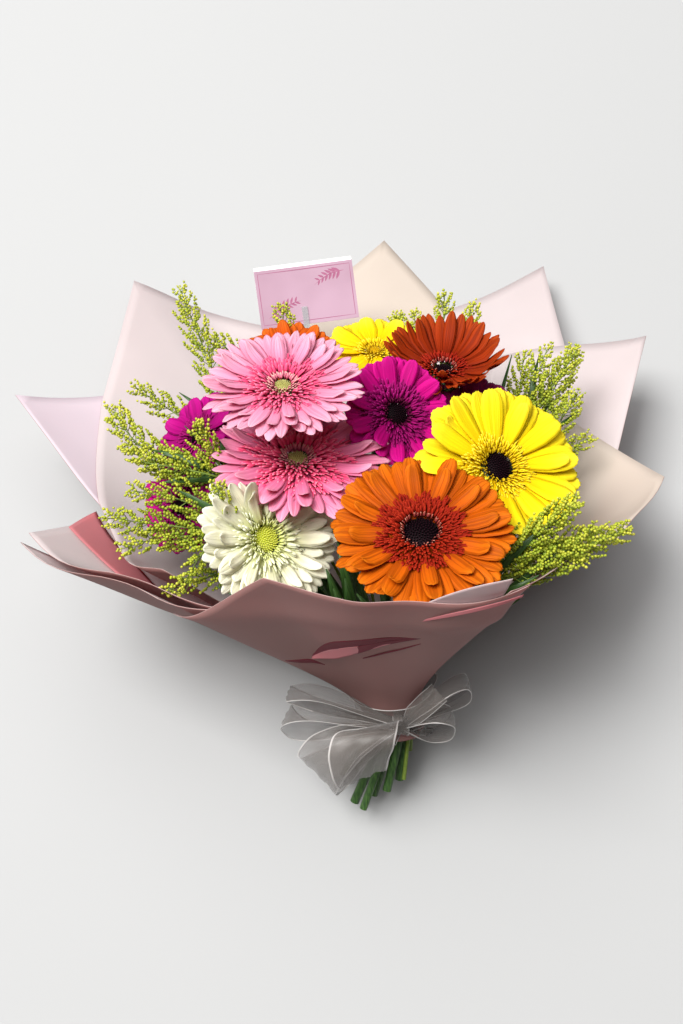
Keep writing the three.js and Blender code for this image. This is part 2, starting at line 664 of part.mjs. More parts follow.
// The eye of tiny disc florets
function eye(f) {
  const columns = 8;
  const radius = f.radius * f.eye;
  const shape = new Shape();
  const zigzag = (low, high) => (j) => (j % 2 ? low : high);
  const seat = (f.crown ? PETAL_ROOT : EYE_SEAT) + GAP;
  const rings = [
    ringOf(columns, radius, () => seat),
    ringOf(columns, radius, zigzag(2.1, 2.8)),
    ringOf(columns, radius * 0.68, zigzag(3.9, 3.0)),
    ringOf(columns, radius * 0.34, zigzag(2.9, 3.6)),
  ].map((ring) => shape.row(ring));
  shape.fanFrom(shape.point(new THREE.Vector3(0, 0, seat)), rings[0]);
  for (let k = 0; k + 1 < rings.length; k++) shape.band(rings[k], rings[k + 1]);
  shape.fanTo(shape.point(new THREE.Vector3(0, 0, 2.6)), rings[rings.length - 1]);
  return shape.geometry();
}

// A gerbera stem ends in the calyx, a cup of bracts under the bloom
function calyxStem(f, points, grow) {
  const radius = f.stem.radius;
  const facing = f.stem.along;
  const rim = f.radius * (f.hub ?? HUB) * 0.42;
  const list = points.slice(0, -1);
  const radii = list.map(() => radius + grow);
  const top = points[points.length - 1];
  const cup = [[0, radius * 1.1], [0.35, rim * 0.85], [1, rim * 0.95]];
  for (const [share, r] of cup) {
    list.push(top.clone().addScaledVector(facing, share * f.calyx));
    radii.push(r + grow);
  }
  return tube(list, radii, 6);
}

// The room that a bloom's disc takes, which no stem may pass through
function discRoom(f) {
  const columns = 12;
  const reach = f.radius * (f.hub ?? HUB) + 2.5;
  const shape = new Shape();
  const low = shape.row(ringOf(columns, reach, () => -2.5));
  const high = shape.row(ringOf(columns, reach, () => 6));
  shape.fanFrom(shape.point(new THREE.Vector3(0, 0, -f.radius * UNDERSIDE)), low);
  shape.band(low, high);
  shape.fanTo(shape.point(new THREE.Vector3(0, 0, 6)), high);
  return solid(shape.geometry(), bloomFrame(f));
}

const STEM_SHARES = [0.18, 0.38, 0.6, 0.82, 1];

GERBERAS.forEach((f, index) => {
  f.seed = 101 + index;
  f.calyx = f.radius * 0.2;
  const facing = vector(f.facing).normalize();
  f.stem = {
    name: `${f.name}_stem`,
    radius: f.radius * 0.042 + 0.75,
    cut: f.cut,
    along: facing,
    towards: f.at,
    top: vector(f.at).addScaledVector(facing, -(f.radius * UNDERSIDE + GAP + f.calyx)),
  };
});

// ----------------------------------------------------------------- goldenrod

// One spray: a stem out of the tie and its plumes, each from a fork on the stem to its
// tip. leaves are narrow blades, from a point on the stem to their tip.
const SPRAYS = [
  { name: "goldenrod_left_back", cut: 40, fork: [-74, 60, 100], plumes: [[-102, 142, 100], [-126, 72, 104]],
    leaves: [[-96, 60, 122]] },
  { name: "goldenrod_left_middle", cut: 46, fork: [-84, -2, 152], plumes: [[-124, 47, 140], [-119, 10, 152], [-76, 16, 176]],
    leaves: [[-98, -14, 164]] },
  { name: "goldenrod_left_front", cut: 42, fork: [-74, -34, 158],
    plumes: [[-130, -26, 142], [-122, -47, 138], [-92, -72, 156]], leaves: [[-88, -20, 170], [-68, -22, 178]] },
  { name: "goldenrod_back_left", cut: 38, fork: [-44, 82, 96], plumes: [[-79, 106, 104], [-37, 116, 124]],
    leaves: [] },
  { name: "goldenrod_back", cut: 36, fork: [52, 84, 104], plumes: [[44, 118, 112], [64, 132, 110], [82, 127, 108]],
    leaves: [[92, 108, 104]] },
  { name: "goldenrod_right_back", cut: 40, fork: [108, 44, 96], plumes: [[112, 94, 104], [145, 101, 98], [148, 38, 106]],
    leaves: [[126, 62, 104]] },
  { name: "goldenrod_right_front", cut: 44, fork: [92, -66, 172], plumes: [[119, -38, 194], [151, -42, 168], [128, -66, 180]],
    leaves: [[104, -46, 184], [80, -78, 190]] },
];

const SPRAY_STEM = 1.3; // radius
const BUD = 2.4; // radius of a cluster of buds
const TWIG_PITCH = 15;

// One plume: a three-sided axis with a twig of bud clusters out of one side of each
// part, going round it. Twigs that would cross a neighbour are left out.
function plume(axis, random) {
  const parts = Math.round(axis.getLength() / TWIG_PITCH);
  const shape = new Shape();
  const centres = axis.getSpacedPoints(parts);
  let across = new THREE.Vector3(0.31, 0.52, -0.8);
  const corners = centres.map((centre, i) => {
    const t = axis.getTangentAt(i / parts);
    across = across.clone().addScaledVector(t, -across.dot(t)).normalize();
    const other = new THREE.Vector3().crossVectors(t, across);
    const radius = 1.05 - 0.4 * (i / parts);
    return [0, 1, 2].map((j) => centre.clone().addScaledVector(across, Math.cos(j * 2.0944) * radius)
      .addScaledVector(other, Math.sin(j * 2.0944) * radius));
  });
  const rings = corners.map((ring) => shape.row(ring));
  shape.fanFrom(shape.point(centres[0]), rings[0]);
  const bare = Math.floor(parts * 0.25);
  for (let i = 0; i < parts; i++) {
    for (let j = 0; j < 3; j++) {
      const k = (j + 1) % 3;
      const loop = [rings[i][j], rings[i][k], rings[i + 1][k], rings[i + 1][j]];
      const root = [corners[i][j], corners[i][k], corners[i + 1][k], corners[i + 1][j]];
      const twig = (i * 2) % 3 === j && i >= bare ? twigRings(root, centres[i], centres[i + 1], i / parts, random) : null;
      if (twig && !crosses(twigSolid(root, twig, 0.15))) twigSkin(shape, loop, twig);
      else shape.quad(...loop);
    }
  }
  // the tip is one more cluster
  const last = rings[parts];
  const forward = axis.getTangentAt(1);
  const bud = corners[parts].map((corner) => corner.clone().sub(centres[parts]).normalize()
    .multiplyScalar(BUD * 0.8).add(centres[parts]).addScaledVector(forward, BUD));
  const ring = shape.row(bud);
  shape.band(last, ring);
  shape.fanTo(shape.point(centres[parts].clone().addScaledVector(forward, BUD * 2.6)), ring);
  return shape.geometry();
}

// A twig's rings of four: cluster, waist, cluster, and its tip
function twigRings(root, low, high, share, random) {
  const middle = low.clone().lerp(high, 0.5);
  const forward = high.clone().sub(low).normalize();
  const face = root[0].clone().add(root[1]).add(root[2]).add(root[3]).multiplyScalar(0.25);
  const out = face.sub(middle).addScaledVector(forward, 0).normalize();
  const direction = out.multiplyScalar(0.8).addScaledVector(forward, 0.45 + 0.4 * random()).normalize();
  const side = new THREE.Vector3().crossVectors(forward, direction).normalize();
  const up = new THREE.Vector3().crossVectors(direction, side);
  const size = BUD * (0.9 + 0.25 * random());
  const ring = (reach, r) => [[-1, -1], [1, -1], [1, 1], [-1, 1]].map(([x, y]) => middle.clone()
    .addScaledVector(direction, reach).addScaledVector(side, x * r * 0.75).addScaledVector(up, y * r * 0.75));
  const rows = [ring(size * 1.6, size)];
  let reach = size * 2.9;
  if (share < 0.4) {
    rows.push(ring(size * 2.9, 0.8), ring(size * 4.0, size * 0.85));
    reach = size * 5.2;
  }
  rows.push(middle.clone().addScaledVector(direction, reach));
  return rows;
}

function twigSkin(shape, loop, twig) {
  let previous = loop;
  for (const corners of twig.slice(0, -1)) {
    const next = shape.row(corners);
    shape.band(previous, next);
    previous = next;
  }
  shape.fanTo(shape.point(twig[twig.length - 1]), previous);
}

// The twig alone, as a solid, for the clearance test
function twigSolid(root, twig, from) {
  const shape = new Shape();
  const base = shape.row(root.map((corner, k) => corner.clone().lerp(twig[0][k], from)));
  shape.quad(base[3], base[2], base[1], base[0]);
  twigSkin(shape, base, twig);
  return solid(shape.geometry());
}

// A narrow pointed leaf, as a thin blade with a raised rib
function blade(from, to, width) {
  const along = to.clone().sub(from);
  const side = new THREE.Vector3().crossVectors(along, new THREE.Vector3(0.2, -0.3, 1)).normalize();
  const up = new THREE.Vector3().crossVectors(side, along).normalize();
  const at = (share, across, rise) => from.clone().addScaledVector(along, share)
    .addScaledVector(side, across).addScaledVector(up, rise);
  const shape = new Shape();
  const root = shape.row([at(0, -0.6, -0.35), at(0, 0.6, -0.35), at(0, 0.6, 0.35), at(0, -0.6, 0.35)]);
  const middle = shape.row([at(0.45, -width / 2, -0.6), at(0.45, width / 2, -0.6),
    at(0.45, width / 2, 0.1), at(0.45, -width / 2, 0.1)]);
  const tip = shape.point(at(1, 0, -1.5));
  shape.quad(root[3], root[2], root[1], root[0]);
  shape.band(root, middle);
  shape.fanTo(tip, middle);
  const body = solid(shape.geometry());
  return body.volume() > 0 ? body : solid(flipped(shape).geometry());
}

function spray(s, stemLine) {
  const random = seeded(s.seed);
  let body = solid(tube(stemLine, stemLine.map(() => SPRAY_STEM), 4));
  const fork = stemLine[stemLine.length - 2];
  const previous = stemLine[stemLine.length - 3];
  s.plumes.forEach((tip, plumeIndex) => {
    const end = vector(tip);
    const start = fork.clone().lerp(previous, plumeIndex * 0.3);
    for (const [x, y] of SWAYS) {
      const axis = new THREE.QuadraticBezierCurve3(start, start.clone().lerp(end, 0.5)
        .addScaledVector(s.stem.along, 6 + y * 0.6).addScaledVector(s.aside, x * 0.6),
      end.clone().addScaledVector(s.aside, x * 0.15));
      const line = axis.getPoints(4);
      if (crosses(solid(tube(line, [1.7, 1.6, 1.5, 1.3, 1.1], 4)))) continue;
      body = body.add(solid(plume(axis, random)));
      return;
    }
  });
  for (const tip of s.leaves) {
    const leaf = blade(fork.clone().lerp(previous, 0.15), vector(tip), 5.5);
    if (!crosses(leaf)) body = body.add(leaf);
  }
  const pieces = body.decompose();
  pieces.sort((a, b) => b.volume() - a.volume());
  return geometryOf(pieces[0]);
}

SPRAYS.forEach((s, index) => {
  s.seed = 501 + index;
  const tip = vector(s.plumes[0]);
  s.stem = {
    name: s.name,
    radius: SPRAY_STEM,
    cut: s.cut,
    towards: s.fork,
    along: tip.sub(vector(s.fork)).normalize(),
    top: vector(s.fork),
  };
  s.aside = new THREE.Vector3().crossVectors(s.stem.along, new THREE.Vector3(0, 0, 1)).normalize();
});

// ------------------------------------------------------- the card and its pick

const CARD = { width: 64, height: 37, leaf: 0.7, opening: 2.6, overlap: 2.5 };
const CARD_LOW_LEFT = new THREE.Vector3(-54.3, 133, 71);
const CARD_RIGHT = new THREE.Vector3(63, 5.5, 0).normalize();
const CARD_UP = new THREE.Vector3(-4, 29, 14).normalize();

function cardMatrix() {
  const up = CARD_UP.clone().addScaledVector(CARD_RIGHT, -CARD_UP.dot(CARD_RIGHT)).normalize();
  const front = new THREE.Vector3().crossVectors(CARD_RIGHT, up);
  return new THREE.Matrix4().makeBasis(CARD_RIGHT, up, front).setPosition(CARD_LOW_LEFT);
}

// A folded card: the two leaves spread a little from the fold at their foot
function card() {
  const { height, leaf, opening: spread, overlap } = CARD;
  const outline = new THREE.Shape();
  outline.moveTo(0, 0);
  outline.lineTo(height, 0);
  outline.lineTo(height, -leaf);
  outline.lineTo(leaf * 2, -leaf - 0.1);
  outline.lineTo(height + overlap, -leaf - spread);
  outline.lineTo(height + overlap, -leaf * 2 - spread);
  outline.lineTo(0, -leaf * 2);
  outline.closePath();
  const geometry = new THREE.ExtrudeGeometry(outline, { depth: CARD.width, bevelEnabled: false });
  // outline x is up the card, outline y is towards the reader, depth runs along its width
  geometry.applyMatrix4(new THREE.Matrix4().makeBasis(
    new THREE.Vector3(0, 1, 0), new THREE.Vector3(0, 0, 1), new THREE.Vector3(1, 0, 0)));
  return geometry;
}

const PICK = { radius: 1.3, prong: 11, thickness: 0.9, width: 7, backRoom: 0.9 };

const pickStem = {
  name: "card_pick",
  radius: PICK.radius,
  cut: 30,
  towards: [-24, 120, 50],
  along: new THREE.Vector3(-2, 29, 15).normalize(),
};

function pick(points, matrix) {
  let body = solid(tube(points, points.map(() => PICK.radius), 6));
  const middle = CARD.width * 0.46;
  const back = -CARD.leaf * 2 - GAP - PICK.thickness - PICK.backRoom;
  for (const z of [GAP, back]) {
    const prong = new THREE.BoxGeometry(PICK.width, PICK.prong + 5, PICK.thickness)
      .translate(middle, (PICK.prong - 5) / 2, z + PICK.thickness / 2);
    body = body.add(solid(prong, matrix));
  }
  const front = GAP + PICK.thickness;
  const bridge = new THREE.BoxGeometry(PICK.width, 2.5, front - back).translate(middle, -3.6, (front + back) / 2);
  return geometryOf(body.add(solid(bridge, matrix)));
}

// ---------------------------------------------------------------- the ribbon

const RIBBON = 0.8; // thickness of a ribbon's solid
const BAND_WIDTH = 15;

// Radius of the paper as it is built, in straight steps from row to row
function builtRadius(degrees, height) {
  const above = Math.max(1, ROWS.findIndex((row) => row >= height));
  const [low, high] = [ROWS[above - 1], ROWS[above]];
  const share = (height - low) / (high - low);
  return funnelRadius(degrees, low, 0) * (1 - share) + funnelRadius(degrees, high, 0) * share;
}

// The ribbon wound round the neck of the paper, with the knot at the front
function band() {
  const sides = 18;
  const shape = new Shape();
  const ring = (height, extra) => Array.from({ length: sides }, (_, j) => {
    const degrees = (-j / sides) * 360;
    const radius = builtRadius(degrees, height) / Math.cos(Math.PI / sides) + extra;
    return TIE.clone().addScaledVector(AXIS, height).addScaledVector(radial(degrees), radius);
  });
  const half = BAND_WIDTH / 2;
  const rings = [ring(-half, 1.0), ring(0, 3.2), ring(half, 1.2), ring(0, 0.5)]
    .map((list) => shape.row(list));
  for (let k = 0; k < rings.length; k++) shape.band(rings[k], rings[(k + 1) % rings.length]);
  return shape.geometry();
}

// A flat ribbon through hand-set stations: a point and the half width across it there
function ribbon(stations, steps) {
  const centres = new THREE.CatmullRomCurve3(stations.map((s) => vector(s[0])), false, "catmullrom", 0.5);
  const halves = new THREE.CatmullRomCurve3(stations.map((s) => vector(s[1])), false, "catmullrom", 0.5);
  const shape = new Shape();
  const rows = [];
  for (let i = 0; i <= steps; i++) {
    const centre = centres.getPoint(i / steps);
    const half = halves.getPoint(i / steps);
    const normal = new THREE.Vector3().crossVectors(centres.getTangent(i / steps), half)
      .normalize().multiplyScalar(RIBBON / 2);
    rows.push(shape.row([
      centre.clone().sub(half).sub(normal), centre.clone().add(half).sub(normal),
      centre.clone().add(half).add(normal), centre.clone().sub(half).add(normal)]));
  }
  shape.quad(rows[0][0], rows[0][1], rows[0][2], rows[0][3]);
  for (let i = 0; i < steps; i++) shape.band(rows[i + 1], rows[i]);
  const last = rows[steps];
  shape.quad(last[3], last[2], last[1], last[0]);
  return flipped(shape).geometry();
}

// The bow's loops and tails. They start and end beside the knot, at the front of the neck.
const KNOT = new THREE.Vector3(33.8, -129.6, 67);
const BOW = [
  { name: "ribbon_left", strips: [
    { steps: 14, stations: [
      [[29.6, -132.2, 69.8], [1, -3, 3]], [[8, -124, 78], [-2, 6, 11]], [[-18, -115, 84], [-3, 9, 14]],
      [[-33, -116, 74], [-4, 10, 13]], [[-24, -126, 58], [-5, 10, 12]], [[2, -133, 57], [-3, 8, 9]],
      [[28, -133.8, 65], [0, 3, 3]]] },
    { steps: 9, stations: [
      [[24, -134.5, 65], [2, 3, 2]], [[9, -141, 50], [8, 8, 5]], [[-10, -147, 37], [11, 11, 5]],
      [[-18, -154, 21], [13, 11, 3]], [[-18, -159, 9], [14, 11, 2]]] }] },
  { name: "ribbon_centre", strips: [
    { steps: 15, stations: [
      [[35, -132.9, 70.9], [2, 0, 0]], [[22, -147, 74], [15, 2, 3]], [[15, -156, 58], [20, 3, 4]],
      [[13, -165, 42], [22, 4, 3]], [[16, -163, 30], [20, 4, 1]], [[23, -154, 42], [14, 2, 1]],
      [[34, -134.8, 61.6], [2.4, 0, 1]]] }] },
  { name: "ribbon_right", strips: [
    { steps: 14, stations: [
      [[38.6, -131.4, 71.6], [0, -3, 3]], [[54, -121, 80], [2, 6, 9]], [[70, -106, 82], [3, 8, 13]],
      [[80, -103, 70], [3, 10, 12]], [[74, -113, 57], [2, 10, 11]], [[58, -126, 56], [1, 8, 8]],
      [[39.4, -133.2, 64.4], [0, 3, 3]]] }] },
];

function knot() {
  const shape = new Shape();
  const along = new THREE.Vector3(1, 0, 0);
  const front = DOWN.clone().negate();
  const rows = [];
  const sections = [[-4.2, 2.2], [-1.6, 4.4], [1.6, 4.6], [4.2, 2.3]];
  for (const [x, r] of sections) {
    rows.push(shape.row(Array.from({ length: 8 }, (_, j) => {
      const angle = (j / 8) * Math.PI * 2;
      return KNOT.clone().addScaledVector(along, x).addScaledVector(front, Math.cos(angle) * r * 0.8)
        .addScaledVector(AXIS, Math.sin(angle) * r * 1.25);
    })));
  }
  shape.fanFrom(shape.point(KNOT.clone().addScaledVector(along, sections[0][0] - 0.6)), rows[0]);
  for (let k = 0; k + 1 < rows.length; k++) shape.band(rows[k], rows[k + 1]);
  shape.fanTo(shape.point(KNOT.clone().addScaledVector(along, sections[3][0] + 0.6)), rows[3]);
  const body = solid(shape.geometry());
  return body.volume() > 0 ? shape.geometry() : flipped(shape).geometry();
}

// -------------------------------------------------------------- the assembly

const cardFrame = cardMatrix();
pickStem.top = new THREE.Vector3(CARD.width * 0.46, -3.6, -CARD.leaf).applyMatrix4(cardFrame);
const stems = [...GERBERAS.map((f) => f.stem), ...SPRAYS.map((s) => s.stem), pickStem];
packTie(stems);

add("card", card(), 0xe3c3df, 0.7, cardFrame);

for (const f of GERBERAS) placed.push({ body: discRoom(f), keptFrom: f.stem.name });
for (const f of GERBERAS) {
  const points = clearStem(f.stem, STEM_SHARES, (line, grow) => calyxStem(f, line, grow));
  add(f.stem.name, calyxStem(f, points, 0), 0x4f7a2c, 0.6);
}
const sprayLines = SPRAYS.map((s) => {
  const line = clearStem(s.stem, STEM_SHARES, (points, grow) =>
    tube(points, points.map(() => SPRAY_STEM + grow), 5));
  placed.push({ name: `${s.name} stem`, body: solid(tube(line, line.map(() => SPRAY_STEM + 0.2), 5)), spray: s.name });
  return line;
});
const pickLine = clearStem(pickStem, STEM_SHARES, (points, grow) =>
  tube(points, points.map(() => PICK.radius + grow), 6));
add("card_pick", pick(pickLine, cardFrame), 0xdfe9ea, 0.15);

for (let i = placed.length - 1; i >= 0; i--) if (placed[i].keptFrom) placed.splice(i, 1);
for (const f of GERBERAS) {
  const frame = bloomFrame(f);
  add(`${f.name}_rays`, rays(f, frame), f.colour, 0.55, frame);
  add(`${f.name}_eye`, eye(f), f.eyeColour, 0.8, frame);
  if (f.crown) add(`${f.name}_crown`, crown(f), 0xb4260f, 0.65, frame);
}
SPRAYS.forEach((s, index) => {
  const own = placed.findIndex((other) => other.spray === s.name);
  placed.splice(own, 1);
  add(s.name, spray(s, sprayLines[index]), 0xa9b822, 0.7);
});

add("ribbon_band", geometryOf(solid(band()).add(solid(knot()))), 0xd8d4d4, 0.5);
for (const part of BOW) {
  const strips = part.strips.map((strip) => solid(ribbon(strip.stations, strip.steps)));
  add(part.name, geometryOf(strips.reduce((all, strip) => all.add(strip))), 0xd8d4d4, 0.5);
}

// Move the bouquet so that the middle of its footprint is the origin
const box = new THREE.Box3().setFromObject(bouquet);
bouquet.position.set(-(box.min.x + box.max.x) / 2, -(box.min.y + box.max.y) / 2, -box.min.z);
bouquet.updateMatrixWorld(true);

export default bouquet;
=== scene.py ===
# %% [markdown]
# A wrapped bouquet of gerberas
#
# A florist's bunch of gerberas and goldenrod lies on its back on a pale table, in
# two-tone paper tied with sheer organza ribbon, with a small card on a clear pick. The
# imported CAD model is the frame: every piece below is built where its solid lies.

import math
import random

import bmesh
import bpy
import numpy as np
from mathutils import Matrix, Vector


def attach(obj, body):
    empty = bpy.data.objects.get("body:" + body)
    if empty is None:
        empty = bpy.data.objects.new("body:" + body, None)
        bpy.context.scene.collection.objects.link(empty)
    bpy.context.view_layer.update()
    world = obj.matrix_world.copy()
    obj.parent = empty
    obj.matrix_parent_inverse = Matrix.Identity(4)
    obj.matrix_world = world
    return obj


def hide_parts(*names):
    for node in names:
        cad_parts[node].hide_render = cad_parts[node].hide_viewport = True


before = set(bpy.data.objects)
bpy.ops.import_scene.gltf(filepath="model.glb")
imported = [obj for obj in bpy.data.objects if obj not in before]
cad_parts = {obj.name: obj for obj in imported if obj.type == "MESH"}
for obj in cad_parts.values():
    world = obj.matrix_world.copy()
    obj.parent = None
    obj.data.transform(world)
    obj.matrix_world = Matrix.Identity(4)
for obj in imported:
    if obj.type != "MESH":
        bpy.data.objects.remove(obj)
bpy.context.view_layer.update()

# %% [markdown]
# Distances below are in millimetres on a layout plan whose table is z = 0. The CAD
# model was then centred on its footprint, so one shift and one scale bring a point of
# the plan to its place in metres.

# %% From the plan to the frame
SHIFT = np.array((3.5883, -35.1714, 0.0))
MM = 0.001


def placed(points):
    """Points of the plan, in millimetres, at their place in the frame, in metres."""
    return (np.asarray(points, float) + SHIFT) * MM


def unit(vector):
    vector = np.asarray(vector, float)
    return vector / np.linalg.norm(vector)


print("the middle of the footprint is at", -SHIFT, "on the plan")

# %% [markdown]
# The camera looks down on the bouquet from the stems' side, 70 degrees above the table.
# It could be turned by eye until the view fits. Its place is worked out from that angle
# and one distance instead, so the view is known as exactly as the pieces are.

# %% Camera
ELEVATION = math.radians(70)
DISTANCE = 750.0
AIM_HEIGHT = 80.0
SENSOR_HEIGHT = 36
LENS = 43.49

camera = bpy.data.objects.new("camera", bpy.data.cameras.new("camera"))
bpy.context.scene.collection.objects.link(camera)
camera.data.sensor_fit = "VERTICAL"
camera.data.sensor_height = SENSOR_HEIGHT
camera.data.lens = LENS
camera.location = placed(
    (0, -DISTANCE * math.cos(ELEVATION), AIM_HEIGHT + DISTANCE * math.sin(ELEVATION)))
camera.rotation_euler = (math.radians(90) - ELEVATION, 0, 0)
bpy.context.scene.camera = camera
print("camera at", [round(v, 3) for v in camera.location])

# %% [markdown]
# The light is that of a room: a window at the upper left and a bright ceiling. A small
# lamp would be simpler, but it throws crisp shadows, and those of a bouquet indoors fade
# out softly, which takes large area lights. Both stand beyond the flowers, so the front
# of the wrap and the bow are in shade.

# %% Light
LIT_SPOT = (0.0, -10.0, 90.0)


def softbox(name, size, energy, colour, came_from):
    """A square soft light, in metres from the lit spot, that faces it."""
    light = bpy.data.objects.new(name, bpy.data.lights.new(name, "AREA"))
    bpy.context.scene.collection.objects.link(light)
    light.data.size = size
    light.data.energy = energy
    light.data.color = colour
    offset = np.asarray(came_from, float)
    light.location = placed(LIT_SPOT) + offset
    light.rotation_euler = Vector(-offset).to_track_quat("-Z", "Y").to_euler()
    print(name, energy, "W")


softbox("window", 2.1, 312, (1.0, 0.985, 0.96), (-1.75, 0.5, 4.15))
softbox("ceiling", 3.4, 106, (1.0, 0.99, 0.98), (-0.45, 0.75, 3.1))

world = bpy.data.worlds.new("room")
bpy.context.scene.world = world
world.use_nodes = True
room = world.node_tree.nodes["Background"].inputs
room["Color"].default_value = (1.0, 0.97, 0.94, 1)
room["Strength"].default_value = 0.13
bpy.context.scene.view_settings.view_transform = "Standard"

# %% [markdown]
# The table is a plain pale surface, so a single plane is enough. It is part of the
# stage, not of the bouquet.

# %% Table
bpy.ops.object.select_all(action="DESELECT")
bpy.ops.mesh.primitive_plane_add(size=8, location=(0, 0, 0))
table = bpy.context.object
table.name = "table"
print("table", tuple(table.dimensions))

# %% [markdown]
# A finish is a Principled material whose patterns are made of shader nodes. Nodes can be
# wired by hand, but sums and products of sockets are easier to read as plain maths, so
# one small class gives a socket the operators.


# %% Maths on sockets
class Wire:
    """A node's output, so that maths on it reads as maths."""

    def __init__(self, finish, socket):
        self.finish, self.socket = finish, socket

    def maths(self, operation, *values):
        return self.finish.node("ShaderNodeMath", {"operation": operation},
                                dict(enumerate(values)))

    def __add__(self, other):
        return self.maths("ADD", self, other)

    def __sub__(self, other):
        return self.maths("SUBTRACT", self, other)

    def __rsub__(self, other):
        return self.maths("SUBTRACT", other, self)

    def __mul__(self, other):
        return self.maths("MULTIPLY", self, other)

    def __abs__(self):
        return self.maths("ABSOLUTE", self)

    __radd__ = __add__
    __rmul__ = __mul__


# %% [markdown]
# Every other node comes from one method, which takes the node's type, its settings and
# what its sockets get. The patterns of this object are few, so each has a short name:
# a soft step, a blend of two colours, a ramp, and noise.


# %% Finishes
class Finish:
    """A material of this object, with its Principled shader at hand."""

    def __init__(self, name, **sockets):
        self.material = bpy.data.materials.new(name)
        self.material.use_nodes = True
        self.tree = self.material.node_tree
        self.surface = self.tree.nodes["Principled BSDF"]
        self.use(**sockets)

    def plug(self, socket, value):
        if isinstance(value, Wire):
            self.tree.links.new(value.socket, socket)
        elif socket.type == "RGBA":
            socket.default_value = (*value[:3], 1)
        else:
            socket.default_value = value

    def use(self, **sockets):
        """Sets the shader's sockets, named as in Blender but in lower case."""
        for name, value in sockets.items():
            label = name.replace("_", " ").title().replace("Ior", "IOR")
            self.plug(self.surface.inputs[label], value)

    def node(self, kind, settings=None, sockets=None, output=0):
        added = self.tree.nodes.new(kind)
        for name, value in (settings or {}).items():
            if name == "stops":
                elements = added.color_ramp.elements
                elements[0].position, elements[1].position = value[0][0], value[-1][0]
                for place, _ in value[1:-1]:
                    elements.new(place)
                for element, (_, colour) in zip(elements, value):
                    element.color = (*colour, 1)
            else:
                setattr(added, name, value)
        for key, value in (sockets or {}).items():
            self.plug(added.inputs[key], value)
        return Wire(self, added.outputs[output])

    def blend(self, share, first, second):
        return self.node("ShaderNodeMix", {"data_type": "RGBA"}, {0: share, 6: first, 7: second}, 2)

    def ramp(self, share, *stops):
        return self.node("ShaderNodeValToRGB", {"stops": stops}, {0: share})

    def step(self, value, low, high, to_low=0.0, to_high=1.0):
        return self.node("ShaderNodeMapRange", {"interpolation_type": "SMOOTHSTEP"},
                         {0: value, 1: low, 2: high, 3: to_low, 4: to_high})

    def noise(self, vector, scale, detail=2.0):
        return self.node("ShaderNodeTexNoise", None,
                         {"Vector": vector, "Scale": scale, "Detail": detail})

    def vector(self, x, y, z=0.0):
        return self.node("ShaderNodeCombineXYZ", None, {0: x, 1: y, 2: z})

    def stretched(self, vector, scale):
        return self.node("ShaderNodeMapping", None, {"Vector": vector, "Scale": scale})

    def place(self):
        return self.node("ShaderNodeTexCoord", None, None, "Object")

    def across_along(self):
        """The piece's own chart: across and along each strap, from 0 to 1."""
        chart = self.node("ShaderNodeUVMap", {"uv_map": "chart"})
        across = self.node("ShaderNodeSeparateXYZ", None, {0: chart})
        return across, Wire(self, across.socket.node.outputs[1])

    def tint(self):
        """A number that differs from copy to copy, from 0 to 1, which on petals and goldenrod buds
        also carries painted shade.
        """
        return self.node("ShaderNodeAttribute", {"attribute_name": "tint"}, None, "Fac")

    def relief(self, height, distance, strength=1.0):
        self.use(normal=self.node("ShaderNodeBump", None,
                                  {"Height": height, "Distance": distance, "Strength": strength}))

    def lets_light_through(self, share, colour):
        """Part of the light that falls on the far side comes out on this one."""
        glow = self.node("ShaderNodeBsdfTranslucent", None, {"Color": colour})
        both = self.node("ShaderNodeMixShader", None,
                         {0: share, 1: Wire(self, self.surface.outputs[0]), 2: glow})
        output = self.tree.nodes["Material Output"]
        self.tree.links.new(both.socket, output.inputs["Surface"])


# %% [markdown]
# Colours are written as on a screen, and turned into the linear values that shaders use.
# The table needs nothing more than one dull grey. Wood, board and ink need a fine grain
# that moves colour and roughness together, so one helper makes those finishes.


# %% Colours and plain finishes
def srgb(text):
    """The linear values of a colour such as ec6a10."""
    parts = [int(text[i:i + 2], 16) / 255 for i in (0, 2, 4)]
    return tuple(p / 12.92 if p <= 0.04045 else ((p + 0.055) / 1.055) ** 2.4 for p in parts)


def grained(name, first, second, scale, spread, rough, detail=2):
    """A finish whose fine grain moves its colour and its roughness a little."""
    finish = Finish(name)
    grain = finish.noise(finish.place(), scale, detail)
    finish.use(base_color=finish.blend(grain, srgb(first), srgb(second)),
               roughness=grain * spread + rough)
    return finish


tabletop = Finish("tabletop", base_color=srgb("a6a7a8"), roughness=0.85)
table.data.materials.append(tabletop.material)

# %% [markdown]
# Petals, florets and buds repeat hundreds of times. Each could be an object, but then
# the bouquet would have thousands. Instead a blank is modelled once and read as numbers,
# and its copies are gathered in a cluster that becomes one mesh. Each copy has its own
# place, its own chart of across and along, and its own tint.


# %% Blanks
def deselect():
    bpy.ops.object.select_all(action="DESELECT")


def edit_where(obj, test):
    """Selects, in edit mode, the vertices that a test on their place accepts."""
    mesh = bmesh.from_edit_mesh(obj.data)
    mesh.select_mode = {"VERT"}
    for vert in mesh.verts:
        vert.select = bool(test(vert.co))
    mesh.select_flush_mode()
    bmesh.update_edit_mesh(obj.data)


class Blank:
    """A small shape as numbers: its points, its faces, and each point's chart."""

    def __init__(self, obj, chart=None):
        mesh = obj.data
        self.points = np.array([v.co for v in mesh.vertices])
        self.faces = [tuple(p.vertices) for p in mesh.polygons]
        low, high = self.points.min(0), self.points.max(0)
        spread = np.where(high - low > 1e-9, high - low, 1)
        self.chart = ((self.points - low) / spread)[:, :2] if chart is None else chart
        bpy.data.objects.remove(obj)
        print("blank", len(self.points), "points", len(self.faces), "faces")


